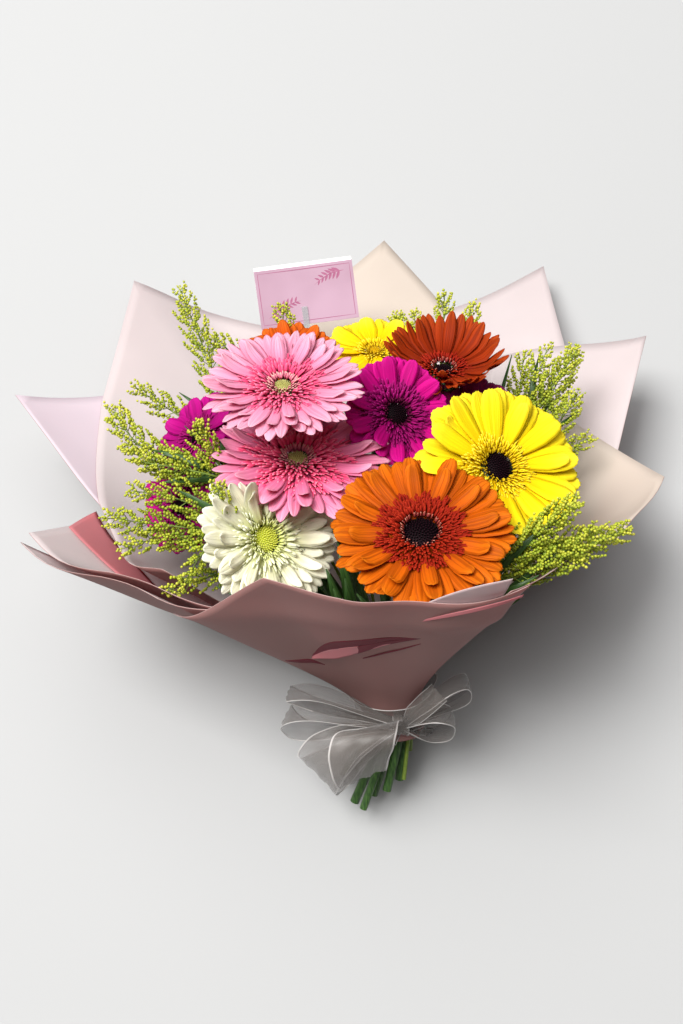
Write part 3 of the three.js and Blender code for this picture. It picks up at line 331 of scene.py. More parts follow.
# %% [markdown]
# A cluster joins the copies by plain lists, which is much quicker than joining objects.
# The finished piece rides with the bouquet and stands for its solids of the CAD model.


# %% Clusters and finished pieces
class Cluster:
    """Copies of blanks, gathered into one mesh."""

    def __init__(self):
        self.points, self.charts, self.tints, self.faces, self.marks = [], [], [], [], []
        self.count = 0

    def lay(self, blank, points, tint=0.5, slot=0, chart=None):
        self.points.append(points)
        self.charts.append(blank.chart if chart is None else chart)
        self.tints.append(np.full(len(points), tint))
        self.faces += [tuple(v + self.count for v in face) for face in blank.faces]
        self.marks += [slot] * len(blank.faces)
        self.count += len(points)

    def piece(self, name, *finishes, smooth=True):
        mesh = bpy.data.meshes.new(name)
        mesh.from_pydata(placed(np.concatenate(self.points)), [], self.faces)
        chart = np.concatenate(self.charts)
        corners = np.empty(len(mesh.loops), int)
        mesh.loops.foreach_get("vertex_index", corners)
        mesh.uv_layers.new(name="chart").data.foreach_set("uv", chart[corners].ravel())
        tints = mesh.attributes.new("tint", "FLOAT", "POINT")
        tints.data.foreach_set("value", np.concatenate(self.tints))
        for finish in finishes:
            mesh.materials.append(finish.material)
        mesh.polygons.foreach_set("material_index", self.marks)
        mesh.polygons.foreach_set("use_smooth", [smooth] * len(mesh.polygons))
        mesh.validate()
        obj = bpy.data.objects.new(name, mesh)
        bpy.context.scene.collection.objects.link(obj)
        return obj


def finished(obj, *nodes, slot=None):
    """The piece rides with the bouquet and stands for its CAD nodes."""
    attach(obj, "root")
    if nodes:
        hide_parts(*nodes)
    print(obj.name, len(obj.data.polygons), "faces")


def turned(direction, roll=0.0, hint=(0, 0, 1)):
    """Rows across, facing and along of a piece that points in a direction."""
    along = unit(direction)
    hint = np.asarray(hint, float)
    if abs(np.dot(hint, along)) > 0.98:
        hint = np.array((0.3, 1.0, 0.2))
    across = unit(np.cross(along, hint))
    facing = np.cross(across, along)
    c, s = math.cos(roll), math.sin(roll)
    return np.array((across * c + facing * s, facing * c - across * s, along))


# %% [markdown]
# The wrapping paper runs from the tie outwards like a cone, so each sheet is a part of
# one funnel. Sheets could be draped by simulation, but stiff paper keeps the few clear
# folds that a florist gives it, and a funnel in numbers puts every sheet in its layer.
# Directions go round the axis of the bunch: 0 degrees is down to the table, 90 right.

# %% The funnel's axis and opening
TIE = np.array((32, -111, 47.0))
AXIS = unit((-6, 45, 42))
DOWN = unit(np.array((0, 0, -1)) + AXIS * AXIS[2])
RIGHT = np.cross(DOWN, AXIS)
RIGHT = RIGHT if RIGHT[0] > 0 else -RIGHT
NECK = 21.8  # radius at the tie
SKIRT = 0.8  # how fast the paper widens again below the tie
PAPER_END = -11  # how far it goes below the tie
LAYER_PITCH = 1.5
RIM = 115  # a usual distance from the tie to the rim
# Half the opening angle of the funnel, by direction
OPENING = ((-172, 42), (-147, 40.5), (-112, 46), (-90, 52), (-58, 54.5), (-30, 52), (-12, 55),
           (10, 56.5), (22, 54), (38, 53), (56, 55.5), (84, 57.5), (104, 53), (123, 47), (150, 45.5))
KEYS = np.array([(d + turn, a) for turn in (-360, 0, 360) for d, a in OPENING])
print("paper from", PAPER_END, "mm below the tie, on a neck", 2 * NECK, "mm wide")


def opening(degrees):
    """Half angle of the funnel, eased from key to key."""
    k = np.clip(np.searchsorted(KEYS[:, 0], degrees, side="right"), 1, len(KEYS) - 1)
    low, high = KEYS[k - 1], KEYS[k]
    share = (1 - np.cos(np.pi * (degrees - low[..., 0]) / (high[..., 0] - low[..., 0]))) / 2
    return low[..., 1] + (high[..., 1] - low[..., 1]) * share


# %% [markdown]
# Two things make the funnel less than a plain cone: at the left some sheets flare out
# more, and at the right the paper opens late, after it has run up beside the stems.

# %% Points on the funnel
FLARE_SIDE, FLARE_SPREAD = -92, 56
LATE_SIDE, LATE_SPREAD, LATENESS = 116, 52, 0.4


def bump(degrees, middle, spread):
    """A soft bump round a direction, 1 at its middle."""
    away = np.abs((degrees - middle + 540) % 360 - 180) / spread
    return np.where(away < 1, (1 + np.cos(np.pi * np.minimum(away, 1))) / 2, 0)


def half_angle(degrees, flare):
    return np.radians(opening(degrees) + flare * bump(degrees, FLARE_SIDE, FLARE_SPREAD))


def funnel_radius(degrees, height, flare):
    late = LATENESS * bump(degrees, LATE_SIDE, LATE_SPREAD)
    rise = np.maximum(height, 0) * np.tan(half_angle(degrees, flare))
    above = np.hypot(NECK, rise * (np.maximum(height, 1e-6) / RIM) ** late)
    return np.where(height < 0, np.hypot(NECK, height * SKIRT), above)


def outward(degrees):
    angle = np.radians(degrees)[..., None]
    return np.cos(angle) * DOWN + np.sin(angle) * RIGHT


def funnel(degrees, height, depth, flare=0.0):
    """Points of the funnel, a depth inside its outer face, and the way inwards there."""
    degrees, height, depth = np.broadcast_arrays(
        *(np.asarray(values, float) for values in (degrees, height, depth)))
    radius = funnel_radius(degrees, height, flare)
    rise = (funnel_radius(degrees, height + 1, flare)
            - funnel_radius(degrees, height - 1, flare)) / 2
    out = outward(degrees)
    inward = AXIS * rise[..., None] - out
    inward /= np.linalg.norm(inward, axis=-1, keepdims=True)
    points = TIE + AXIS * height[..., None] + out * radius[..., None] + inward * depth[..., None]
    return points, inward


def on_funnel(point):
    """Direction and distance from the tie of a point in space."""
    offset = np.asarray(point, float) - TIE
    return math.degrees(math.atan2(offset @ RIGHT, offset @ DOWN)), float(np.linalg.norm(offset))


# %% [markdown]
# Florist's paper is smooth and a little waxy, with one colour inside and another
# outside, and it bends in long soft folds that start at the neck. The light behind a
# sheet glows through it. Its faint fibres and the softest folds are relief in the
# finish; the folds that show in outline are real shape.


# %% Paper finishes
def paper(name, colour, glow, lit=0.28):
    colour = srgb(colour)
    finish = Finish("paper." + name)
    place = finish.place()
    cloud = finish.noise(place, 9, 3)
    fibre = finish.noise(finish.stretched(place, (1, 2.4, 1)), 900)
    pale = tuple(min(1, c * 1.04) for c in colour)
    deep = tuple(c * 0.93 for c in colour)
    finish.use(base_color=finish.blend(finish.step(cloud, 0.3, 0.7), deep, pale),
               roughness=fibre * 0.12 + 0.55, specular_ior_level=0.35)
    finish.relief(cloud * 0.6 + fibre * 0.05, 0.0015, 0.5)
    finish.lets_light_through(lit, srgb(glow))
    return finish


PAPERS = {
    "pink": paper("pink", "ccc2c3", "dcc4c6"),
    "peach": paper("peach", "ccc0b4", "debeaa"),
    "lilac": paper("lilac", "d8cbd5", "dfc2d2"),
    "rose": paper("rose", "967470", "dc585e"),
    "edge": paper("edge", "b89c98", "d88a88"),
    # blush is a salmon pink for light coming through the paper at a fold (painted light on the
    # paper's pink); shadow is painted shade for the throats of tucks
    "blush": paper("blush", "c8848a", "f05860", lit=0.4),
    "shadow": paper("shadow", "6c1e2c", "a41e30"),
}
print(len(PAPERS), "papers")

# %% [markdown]
# Many things here are smooth lines through a few points: rims, petals, twigs, ribbon.
# A curve object could draw them, but its points would have to be read back, so one
# small function gives the line as even steps. Soft waves come from a sum of sines.


# %% Smooth lines and soft waves
def rounded(points, count=24):
    """A smooth line through the points (Catmull-Rom), in even steps."""
    points = np.asarray(points, float)
    first, last = 2 * points[:1] - points[1:2], 2 * points[-1:] - points[-2:-1]
    ends = np.concatenate((first, points, last))
    t = np.linspace(0, 1, 13)[:-1, None]
    line = [0.5 * (2 * b + (c - a) * t + (2 * a - 5 * b + 4 * c - d) * t**2
                   + (3 * b - 3 * c + d - a) * t**3)
            for a, b, c, d in zip(ends, ends[1:], ends[2:], ends[3:])]
    line = np.concatenate((*line, points[-1:]))
    steps = np.concatenate(((0,), np.cumsum(np.linalg.norm(np.diff(line, axis=0), axis=1))))
    even = np.linspace(0, steps[-1], count)
    return np.stack([np.interp(even, steps, line[:, k]) for k in range(3)], -1)


def smooth_noise(x, y, seed):
    """Soft waves without a pattern, from about -1 to 1."""
    rng = random.Random(seed)
    total = 0
    for k in range(5):
        fx, fy = rng.uniform(0.5, 1.6), rng.uniform(0.5, 1.6)
        wave = np.sin(x * fx * (1 + 0.5 * k) + y * fy * (1 + 0.3 * k) + rng.uniform(0, 6.3))
        total = total + wave / (1 + 0.5 * k)
    return total / 2.9


# %% [markdown]
# Each sheet is given by the corners of its outer edge, as a direction and a distance
# from the tie, or as a point in space. Between two corners the edge is a straight cut,
# which bends into a curve once the sheet is rolled into the funnel.

# %% Corners of the sheets
SHEETS = (
    dict(name="wrap_back_centre", layer=0, inside="peach", flutter=0.0,
         corners=((-100, 112, 8), (27, 247, 0), (140, 100, 12))),
    dict(name="wrap_back_right", layer=2, inside="pink", flutter=1.5,
         corners=((-12, 156, 8), (142, 205, 24), (158, 70, 55))),
    dict(name="wrap_back_left", layer=4, inside="pink", flutter=1.5,
         corners=((-96, -64, 156), (-140, 4, 100), (-154, 86, 56), (-145, 195, 24), (20, 152, 10))),
    dict(name="wrap_left", layer=2.4, inside="lilac", flutter=2.5,
         corners=((-120, -12, 104), (-208, 79, 70), (-80, 112, 30))),
    dict(name="wrap_right", layer=3, inside="pink", flutter=2.0,
         corners=((98, 132, 28), (201, 127, 60), (158, -10, 84))),
    dict(name="wrap_right_front", layer=4, inside="peach", flutter=2.0,
         corners=((118, 100, 62), (192, 4.6, 110), (84, -90, 203))),
    dict(name="wrap_front_left", layer=3, inside="pink", flare=3.9, flutter=1.5,
         corners=((-150, 120), (-128, 150), (-104, 196), (-87, 236), (-68, 206))),
    dict(name="wrap_front", layer=0, inside="pink", flare=5, flutter=1.0, creased=True,
         corners=((92, -90, 212), (44, -96, 213), (-1, -92, 219), (-37, -84, 216), (-88, -83, 150))),
    dict(name="wrap_front_wing", layer=1, inside="pink", flare=4.4, flutter=1.0,
         corners=((-146, 140), (-126, 158), (-104, 199), (-89, 238)),
         lower=((-146, 74), (-112, 116), (-90, 188))),
)
print(len(SHEETS), "sheets")

# %% [markdown]
# The front sheet has a crease: below it the paper is pulled tight round the bunch, and
# above it the rim leans inwards over the flowers.

# %% The crease of the front sheet
# Direction, and distance along the axis from the tie
CREASE = ((150, 100), (163, 103), (174, 104), (183, 107), (203, 111.5), (220, 110.5), (233, 110),
          (260, 104))
CREASE_LEAN, CREASE_ROUND = 0.11, 1.5
CREASE_DIP, CREASE_REACH = 1.6, 7.0


def crease_depth(degrees, heights):
    """How much deeper than the funnel the creased sheet lies."""
    over = heights - np.interp(degrees, *np.array(CREASE).T)
    lean = CREASE_LEAN * np.logaddexp(0, over / CREASE_ROUND) * CREASE_ROUND
    return lean - CREASE_DIP * np.exp(-(over / CREASE_REACH) ** 2)


# %% [markdown]
# Where the paper opens in a tuck or is folded over, slips of other tones lie on the sheet. The dark
# shadow slips are painted shade in the throats of the tucks. The blush slips are a salmon pink for
# light that comes through the paper at a fold, so they are painted light on the paper's own pink.
# Tucks could be modelled in the sheet's own mesh, at the cost of very fine faces all over. A thin
# slip laid on it gives the same look. Each slip runs between two edges, whose points are direction,
# height along the axis and depth.

# %% Slips on the sheets
SLIPS = {
    "wrap_front": (
        # painted shade in the dark throat of the crescent under the rim
        ("shadow", "shadow", ((225, 66.5, -0.2), (214.2, 79, -0.2), (205.1, 87, -0.2),
                              (193.3, 91.5, -0.2),
                              (183.1, 92, -0.2), (173.9, 91, -0.1)),
         ((225, 66.3, -1.0), (213, 74.5, -0.9), (203, 82.5, -0.9), (192, 87.5, -0.9),
          (183.2, 90, -0.6),
          (173.9, 90.8, -0.2))),
        # its lit fold, in blush: painted light on the paper's pink
        ("blush", "blush", ((225, 66.4, -0.8), (213, 75.5, -0.8), (203, 82.4, -0.8),
                            (194, 85.6, -0.9), (184, 87.2, -1.0)),
         ((225, 66, -2.2), (212.9, 69.5, -2.8), (204, 75, -2.6), (195.3, 80.8, -2.0),
          (184, 87, -1.1))),
        # painted shade at its dark right end
        ("shadow", "shadow", ((200, 82, -0.9), (194, 86.5, -0.9), (188, 88.5, -0.7),
                              (181, 90, -0.5), (173.9, 90.9, -0.2)),
         ((200, 77.6, -2.3), (195.3, 80.6, -2.1), (189, 84.5, -1.4), (183.3, 87, -1.0),
          (173.9, 90.7, -0.2))),
        # a dark sliver of painted shade at the left
        ("shadow", "shadow", ((241.5, 58.6, -0.2), (234, 61, -0.25), (228.6, 61.6, -0.3),
                              (225.4, 56, -0.2)),
         ((241.8, 58.2, -0.3), (235, 58.2, -0.6), (229, 58.3, -0.6), (225.4, 55.4, -0.2))),
        # a dark sliver of painted shade at the right
        ("shadow", "shadow", ((197.7, 69, -0.2), (189, 75, -0.5), (180.4, 80, -0.5),
                              (173.3, 85.6, -0.2)),
         ((197.8, 68.7, -0.3), (189, 74, -0.7), (180.4, 79.3, -0.7), (173.3, 85.4, -0.3))),
        # a salmon line below the rim, in blush: painted light on the paper's pink
        ("blush", "blush", ((176, 108.5, -0.2), (168, 116, -0.4), (160, 121, -0.5),
                            (153, 122.5, -0.2)),
         ((176, 108, -0.5), (168, 114.3, -1.2), (160, 119, -1.3), (153, 121, -0.6))),
        # the rolled inner edge
        ("pink", "blush", ((173.7, 120, 3.6), (168.5, 126, 4.6), (163, 130.5, 5.0),
                           (157.5, 133, 4.6)),
         ((173.7, 112, 2.4), (166.5, 113, 2.6), (161, 115, 3.0), (156.2, 119, 3.4))),
    ),
    "wrap_front_left": (
        # the fold along the left rim, in blush: painted glow of light through the paper
        ("blush", "blush", ((-69, 118, 5.3), (-74, 109, 5.3), (-80, 97, 5.3), (-91, 84, 5.3)),
         ((-79, 122, 5.6), (-84, 112, 5.9), (-90, 101, 5.9), (-96, 86, 5.5))),
    ),
}
print({name: len(slips) for name, slips in SLIPS.items()}, "slips")

# %% [markdown]
# An edge that is straight on flat paper is worked out with the angles that the sheet
# has when it is unrolled.

# %% Rims
UNROLLED = 0.79  # an angle on the flat sheet, as a share of that round the axis


def edge_distance(a, b, degrees):
    """Distance from the tie to a straight cut between two corners."""
    ta, tb, t = (np.radians(d) * UNROLLED for d in (a[0], b[0], degrees))
    return np.sin(tb - ta) / (np.sin(tb - t) / a[1] + np.sin(t - ta) / b[1])


def rim_distance(corners, degrees):
    for a, b in zip(corners, corners[1:]):
        if degrees <= b[0] + 1e-6:
            return edge_distance(a, b, degrees)
    return edge_distance(corners[-2], corners[-1], degrees)


def unwound(corners, first=None):
    """Corners as direction and distance, with directions that only grow."""
    rim = [list(c) if len(c) == 2 else list(on_funnel(c)) for c in corners]
    floor = rim[0][0] if first is None else first
    for corner in rim:
        while corner[0] < floor - 1:
            corner[0] += 360
        floor = max(floor, corner[0])
    return rim


# %% [markdown]
# All sheets share one set of waves, so that they lie on each other, and a loose rim gets
# a little flutter of its own. Where the funnel would sink into the table, the paper
# lies flat on it.

# %% A sheet's surface
WAVE, FULL_WAVE_FROM, FULL_WAVE_BY = 1.3, 12, 60
SOFT_LANDING = 2.0


def sheet_surface(columns, heights, depth, flare, flutter, seed, shares):
    """Points of a sheet; the shares run from 0 at the neck to 1 at the rim."""
    points, inward = funnel(columns, heights, depth, flare)
    turn, far = columns / 17.0, heights / 55.0
    swell = np.clip((heights - FULL_WAVE_FROM) / FULL_WAVE_BY, 0, 1)
    wave = WAVE * swell * smooth_noise(turn, far, 5)
    rim = np.clip((shares - 0.55) / 0.45, 0, 1) ** 2
    wave = wave + flutter * rim * smooth_noise(turn * 1.7, far * 1.2, seed)
    points = points + inward * wave[..., None]
    lift = points[..., 2] - depth
    points[..., 2] = depth + SOFT_LANDING * np.logaddexp(0, lift / SOFT_LANDING)
    return points


# %% [markdown]
# A sheet is two grids of points a skin apart. Solidify would give the same from one
# grid, but two grids let the inside and the outside have their own finish at once.


# %% Sheets from two grids
def lay_sheet(cluster, outer, inner, chart, slots=(1, 0, 2)):
    """A thin closed sheet between two grids; the slots are outside, inside and edge."""
    rows, count = outer.shape[:2]
    offset = rows * count
    index = np.arange(offset).reshape(rows, count)
    quads = np.stack((index[:-1, :-1], index[:-1, 1:], index[1:, 1:], index[1:, :-1]), -1)
    quads = quads.reshape(-1, 4)
    ring = np.concatenate((index[0, :], index[1:, -1], index[-1, -2::-1], index[-2:0:-1, 0]))
    after = np.roll(ring, -1)
    faces = [tuple(q) for q in quads[:, ::-1]] + [tuple(q + offset) for q in quads]
    faces += list(zip(ring, after, after + offset, ring + offset))
    cluster.points += [outer.reshape(-1, 3), inner.reshape(-1, 3)]
    cluster.charts += [chart.reshape(-1, 2)] * 2
    cluster.tints += [np.full(offset, 0.5)] * 2
    cluster.faces += [tuple(int(v) + cluster.count for v in face) for face in faces]
    cluster.marks += [slots[0]] * len(quads) + [slots[1]] * len(quads) + [slots[2]] * len(ring)
    cluster.count += 2 * offset


SLIP_ACROSS, SLIP_ALONG, SLIP_SKIN = 9, 28, 0.25


def slip(cluster, upper, lower, flare, slots, seed):
    """A slip between two edges, smooth along them."""
    upper, lower = (rounded(edge, SLIP_ALONG) for edge in (upper, lower))
    share = np.linspace(0, 1, SLIP_ACROSS)[:, None, None]
    degrees, heights, depth = np.moveaxis(upper[None] * (1 - share) + lower[None] * share, -1, 0)
    shares = np.full(degrees.shape, 0.6)
    outer, inner = (sheet_surface(degrees, heights, depth + skin, flare, 0.0, seed, shares)
                    for skin in (0.0, SLIP_SKIN))
    chart = np.stack(np.broadcast_arrays(share[..., 0], np.linspace(0, 1, SLIP_ALONG)[None]), -1)
    # edges given from right to left would turn the faces inside out
    middle = SLIP_ALONG // 2
    turning = np.cross(outer[1, 0] - outer[0, 0] + outer[-1, middle] - outer[0, middle],
                       outer[SLIP_ACROSS // 2, -1] - outer[SLIP_ACROSS // 2, 0])
    if turning @ (inner - outer).reshape(-1, 3).sum(0) > 0:
        outer, inner, chart = outer[:, ::-1], inner[:, ::-1], chart[:, ::-1]
    lay_sheet(cluster, outer, inner, chart, slots)


# %% [markdown]
# Now the nine sheets.

# %% The sheets
SKIN = 0.35  # thickness of the paper that shows
COLUMN = 2.0  # degrees
ROWS = 40
LEAST_ROW = 4


def columns_of(rim):
    """Directions every few degrees, and at every corner of the rim."""
    corners = {c[0] for c in rim}
    even = np.arange(math.ceil(rim[0][0] / COLUMN) * COLUMN, rim[-1][0], COLUMN)
    return np.array([c for c in sorted(corners | set(even))
                     if c in corners or all(abs(c - r) > 0.5 for r in corners)])


def paper_sheet(name, layer, inside, corners, flutter, flare=0.0, lower=None, creased=False):
    rim = unwound(corners)
    columns = columns_of(rim)
    scale = np.cos(half_angle(columns, flare))
    top = np.array([rim_distance(rim, c) for c in columns]) * scale
    low = np.full(len(columns), float(PAPER_END))
    if lower:
        hem = unwound(lower, rim[0][0])
        hem = np.array([rim_distance(hem, c) for c in columns]) * scale
        low = np.minimum(hem, top - LEAST_ROW)
    shares = np.linspace(0, 1, ROWS)[:, None] ** 1.15
    heights = low + (top - low) * shares
    grid, far = (np.broadcast_to(values, heights.shape) for values in (columns, shares))
    seed = sum(map(ord, name))
    depth = layer * LAYER_PITCH + (crease_depth(columns, heights) if creased else 0.0)
    outer, inner = (sheet_surface(grid, heights, depth + skin, flare, flutter, seed, far)
                    for skin in (0.0, SKIN))
    cluster = Cluster()
    lay_sheet(cluster, outer, inner, np.stack((grid / 10, heights / 100), -1))
    looks = [inside, "rose", "edge", "blush", "shadow"]
    for outside, within, *edges in SLIPS.get(name, ()):
        slots = [looks.index(look) if look in looks else 0 for look in (outside, within, outside)]
        slip(cluster, *edges, flare, slots, seed)
    obj = cluster.piece(name.replace("wrap", "paper"), *(PAPERS[look] for look in looks))
    finished(obj, name)


for sheet in SHEETS:
    paper_sheet(**sheet)

# %% [markdown]
# A gerbera's petals are long straps with a channel down the middle, two soft ridges
# beside it and a small notch at the tip. One such strap could be sculpted, but a grid
# whose rows are scaled and moved gives the same shape with few faces. Leaves, bracts
# and the tiny florets of the crown are straps too, so one helper shapes them all.


# %% Straps
OUT_OF_THE_WAY = 10  # rows that are done wait here, so that they aren't selected again


def strap(columns, rows, size, thick, ridge=0.0, notch=0.0):
    """A flat strap with rows (place, width), as shares of its size in millimetres."""
    deselect()
    bpy.ops.mesh.primitive_grid_add(x_subdivisions=columns, y_subdivisions=len(rows) - 1, size=1)
    obj = bpy.context.object
    chart = np.array([(v.co.x + 0.5, v.co.y + 0.5) for v in obj.data.vertices])
    bpy.ops.object.mode_set(mode="EDIT")
    for k, (place, width) in reversed(list(enumerate(rows))):
        y = k / (len(rows) - 1) - 0.5
        edit_where(obj, lambda co: abs(co.y - y) < 0.01)
        bpy.ops.transform.resize(value=(width, 1, 1))
        bpy.ops.transform.translate(value=(0, OUT_OF_THE_WAY + place - y, 0))
    edit_where(obj, lambda co: True)
    bpy.ops.transform.translate(value=(0, -OUT_OF_THE_WAY, 0))
    bpy.ops.transform.resize(value=(*size, 1), center_override=(0, 0, 0))
    bpy.ops.object.mode_set(mode="OBJECT")
    ridged(obj, chart, columns, ridge, notch)
    wall = obj.modifiers.new("wall", "SOLIDIFY")
    wall.thickness = thick
    wall.offset = 0
    bpy.ops.object.modifier_apply(modifier="wall")
    for vert in obj.data.vertices:
        vert.co.x /= size[0]
        vert.co.y /= size[1]
    return Blank(obj, np.concatenate((chart, chart)))


def ridged(obj, chart, columns, ridge, notch):
    """Every other line of points is a ridge, and ends beyond the notches beside it."""
    for vert, (across, along) in zip(obj.data.vertices, chart):
        side = round(across * columns)
        if side % 2:
            vert.co.z += ridge * min(1.0, along * 3)
        elif along > 0.99:
            vert.co.y -= notch * (2.2 if side in (0, columns) else 1.0)


PETAL = strap(4, ((0, 0.3), (0.15, 0.46), (0.36, 0.8), (0.58, 1.0), (0.78, 0.97), (0.9, 0.8),
                  (0.965, 0.56), (1.0, 0.28)), (12, 34), 0.24, ridge=0.42, notch=0.35)
SLIM_PETAL = strap(4, ((0, 0.36), (0.15, 0.52), (0.36, 0.84), (0.58, 1.0), (0.76, 0.93),
                       (0.88, 0.7), (0.96, 0.4), (1.0, 0.14)), (8, 34), 0.24, ridge=0.42, notch=0.2)
TONGUE = strap(2, ((0, 0.7), (0.4, 1.0), (0.8, 0.8), (1.0, 0.25)), (1.4, 6), 0.25, ridge=0.15)
LEAF = strap(2, ((0, 0.2), (0.15, 0.75), (0.45, 1.0), (0.8, 0.55), (1.0, 0.06)), (4, 30), 0.3,
             ridge=-0.3)

# %% [markdown]
# Three more blanks are plain primitives, because they are only ever a millimetre or two
# big, or hidden under florets: a bud, a closed floret, and the mound that florets sit on.

# %% Buds, florets and mounds
deselect()
bpy.ops.mesh.primitive_ico_sphere_add(subdivisions=1, radius=0.5)
BUD = Blank(bpy.context.object)
deselect()
bpy.ops.mesh.primitive_cone_add(vertices=5, radius1=0.5, radius2=0.22, depth=1,
                                location=(0, 0, 0.5))
bpy.ops.object.transform_apply(location=True, rotation=True, scale=True)
FLORET = Blank(bpy.context.object)
deselect()
bpy.ops.mesh.primitive_uv_sphere_add(segments=20, ring_count=10, radius=1)
MOUND = Blank(bpy.context.object)

# %% [markdown]
# A strap is bent by laying it along a curve: its length follows the curve, and its
# width goes to a side that keeps square to it. A Curve modifier does the same for one
# object; in numbers it is quick enough for thousands. A roll, a twist and a cup make
# each copy a little different.


# %% Laying straps along curves
def at_share(line, share):
    """The points of a line at shares of its length."""
    steps = np.linspace(0, 1, len(line))
    return np.stack([np.interp(share, steps, line[:, k]) for k in range(3)], -1)


def bent(blank, line, side, width, roll=0.0, twist=0.0, cup=0.0, ripple=0.0, thick=1.0):
    """The points of a strap laid along a line."""
    x, share, z = blank.points.T
    centre = at_share(line, share)
    along = at_share(np.gradient(line, axis=0), share)
    along /= np.linalg.norm(along, axis=1)[:, None]
    across = side - (along @ side)[:, None] * along
    across /= np.linalg.norm(across, axis=1)[:, None]
    up = np.cross(across, along)
    turn = (roll + twist * share)[:, None]
    across, up = (across * np.cos(turn) + up * np.sin(turn),
                  up * np.cos(turn) - across * np.sin(turn))
    height = z * thick + cup * width * 2 * x**2 * np.minimum(1, share * 4)
    height = height + ripple * np.sin(share * 9 + roll * 40) * x * 2
    return centre + across * (x * width)[:, None] + up * height[:, None]


def turned_points(blank, size, place, rows):
    """The points of a small shape: scaled, turned so that its z is the last row, and moved."""
    return place + (blank.points * size) @ rows


def round_axis(right, up, turn):
    return right * math.cos(turn) + up * math.sin(turn)


# %% [markdown]
# Petals let light through, are darker at the root and paler at the tip, and have fine darker lines
# from root to tip. A picture of a petal would show all that, but only at one size. Here the colour
# follows the strap's chart, and each petal's tint moves it a little: partly at random, and partly as
# painted shade on the petals that lie lower, between the others.


# %% Petal finishes
def petal_finish(name, root, middle, tip, glow, veins):
    finish = Finish("petal." + name)
    across, along = finish.across_along()
    tint = finish.tint()
    streak = finish.noise(finish.vector(across * 8, along * 0.7, tint * 37), 1.0, 3)
    colour = finish.ramp(along, (0.12, root), (0.45, middle), (1.0, tip))
    line = finish.step(streak, 0.4, 0.56) * veins + (1 - veins)
    colour = finish.blend(line, tuple(c * 0.5 for c in root), colour)
    # painted shade on the lower petals, together with random tone, both carried by the tint
    shade = finish.step(tint, 0, 1, 0.0, 0.2)
    colour = finish.blend(shade, colour, tuple(c * 0.6 for c in middle))
    finish.use(base_color=colour, roughness=streak * 0.2 + 0.5, specular_ior_level=0.1)
    finish.relief(streak, 0.0008, 0.8)
    finish.lets_light_through(0.28, glow)
    return finish


# %% [markdown]
# The middle of a gerbera is hundreds of florets of one to six millimetres. At that size
# only their colours tell: one at the foot, one higher up, and a lighter tip.


# %% Floret finishes
def tuft_finish(name, low, high, tip, mark):
    """Tiny florets, with the place where the colour of the tip starts."""
    low, high, tip = srgb(low), srgb(high), srgb(tip)
    finish = Finish("tuft." + name)
    colour = finish.ramp(finish.across_along()[1], (0.0, low), (mark, high), (1.0, tip))
    colour = finish.blend(finish.step(finish.tint(), 0, 1, 0, 0.3), colour, low)
    finish.use(base_color=colour, roughness=finish.noise(finish.place(), 2500, 1) * 0.3 + 0.5,
               specular_ior_level=0.1)
    finish.lets_light_through(0.25, high)
    return finish


EYES = {name: tuft_finish(name, *look) for name, look in {
    "dark": ("060104", "110309", "2a0f1a", 0.7),
    "lime": ("b6c030", "d8de48", "ecec80", 0.6),
    "soft-green": ("9c9c4c", "b8b666", "d6d094", 0.6),
    "gold": ("c89a08", "e8c818", "6a4410", 0.8),
}.items()}
TUFTS = {name: tuft_finish(name, *look) for name, look in {
    "red": ("741408", "9c200e", "bc3a1c", 0.7),
    "tan": ("7a2030", "a84a3c", "e8a890", 0.7),
    "deep-pink": ("d43466", "ee628c", "f698b4", 0.65),
    "hot-pink": ("e83a70", "ff6492", "ffa8c0", 0.65),
    "cream": ("d85080", "ee98a8", "f8dcc0", 0.6),
    "yellow": ("d8b010", "f4dc18", "fff25c", 0.6),
    "speck": ("d0a810", "ecd020", "5a3018", 0.8),
    "pale": ("c8d468", "e6ea9c", "fafae0", 0.6),
    "ivory": ("dce09a", "f2f4d2", "fdfdf0", 0.5),
    "magenta": ("700648", "9c0a66", "c03090", 0.7),
    "wine": ("2c0418", "5c0a34", "8c2c58", 0.7),
}.items()}
print(len(EYES), "finishes for eyes and", len(TUFTS), "for crowns")

# %% [markdown]
# Each bloom stands where the CAD bloom stands. Its row gives the middle, the way it
# faces, its radius and that of its eye as a share, the width of its petals, and their
# colours at root, middle and tip. Petals may be longer towards one side and shorter
# away from it, as where a bloom leans or is pressed by its neighbour.

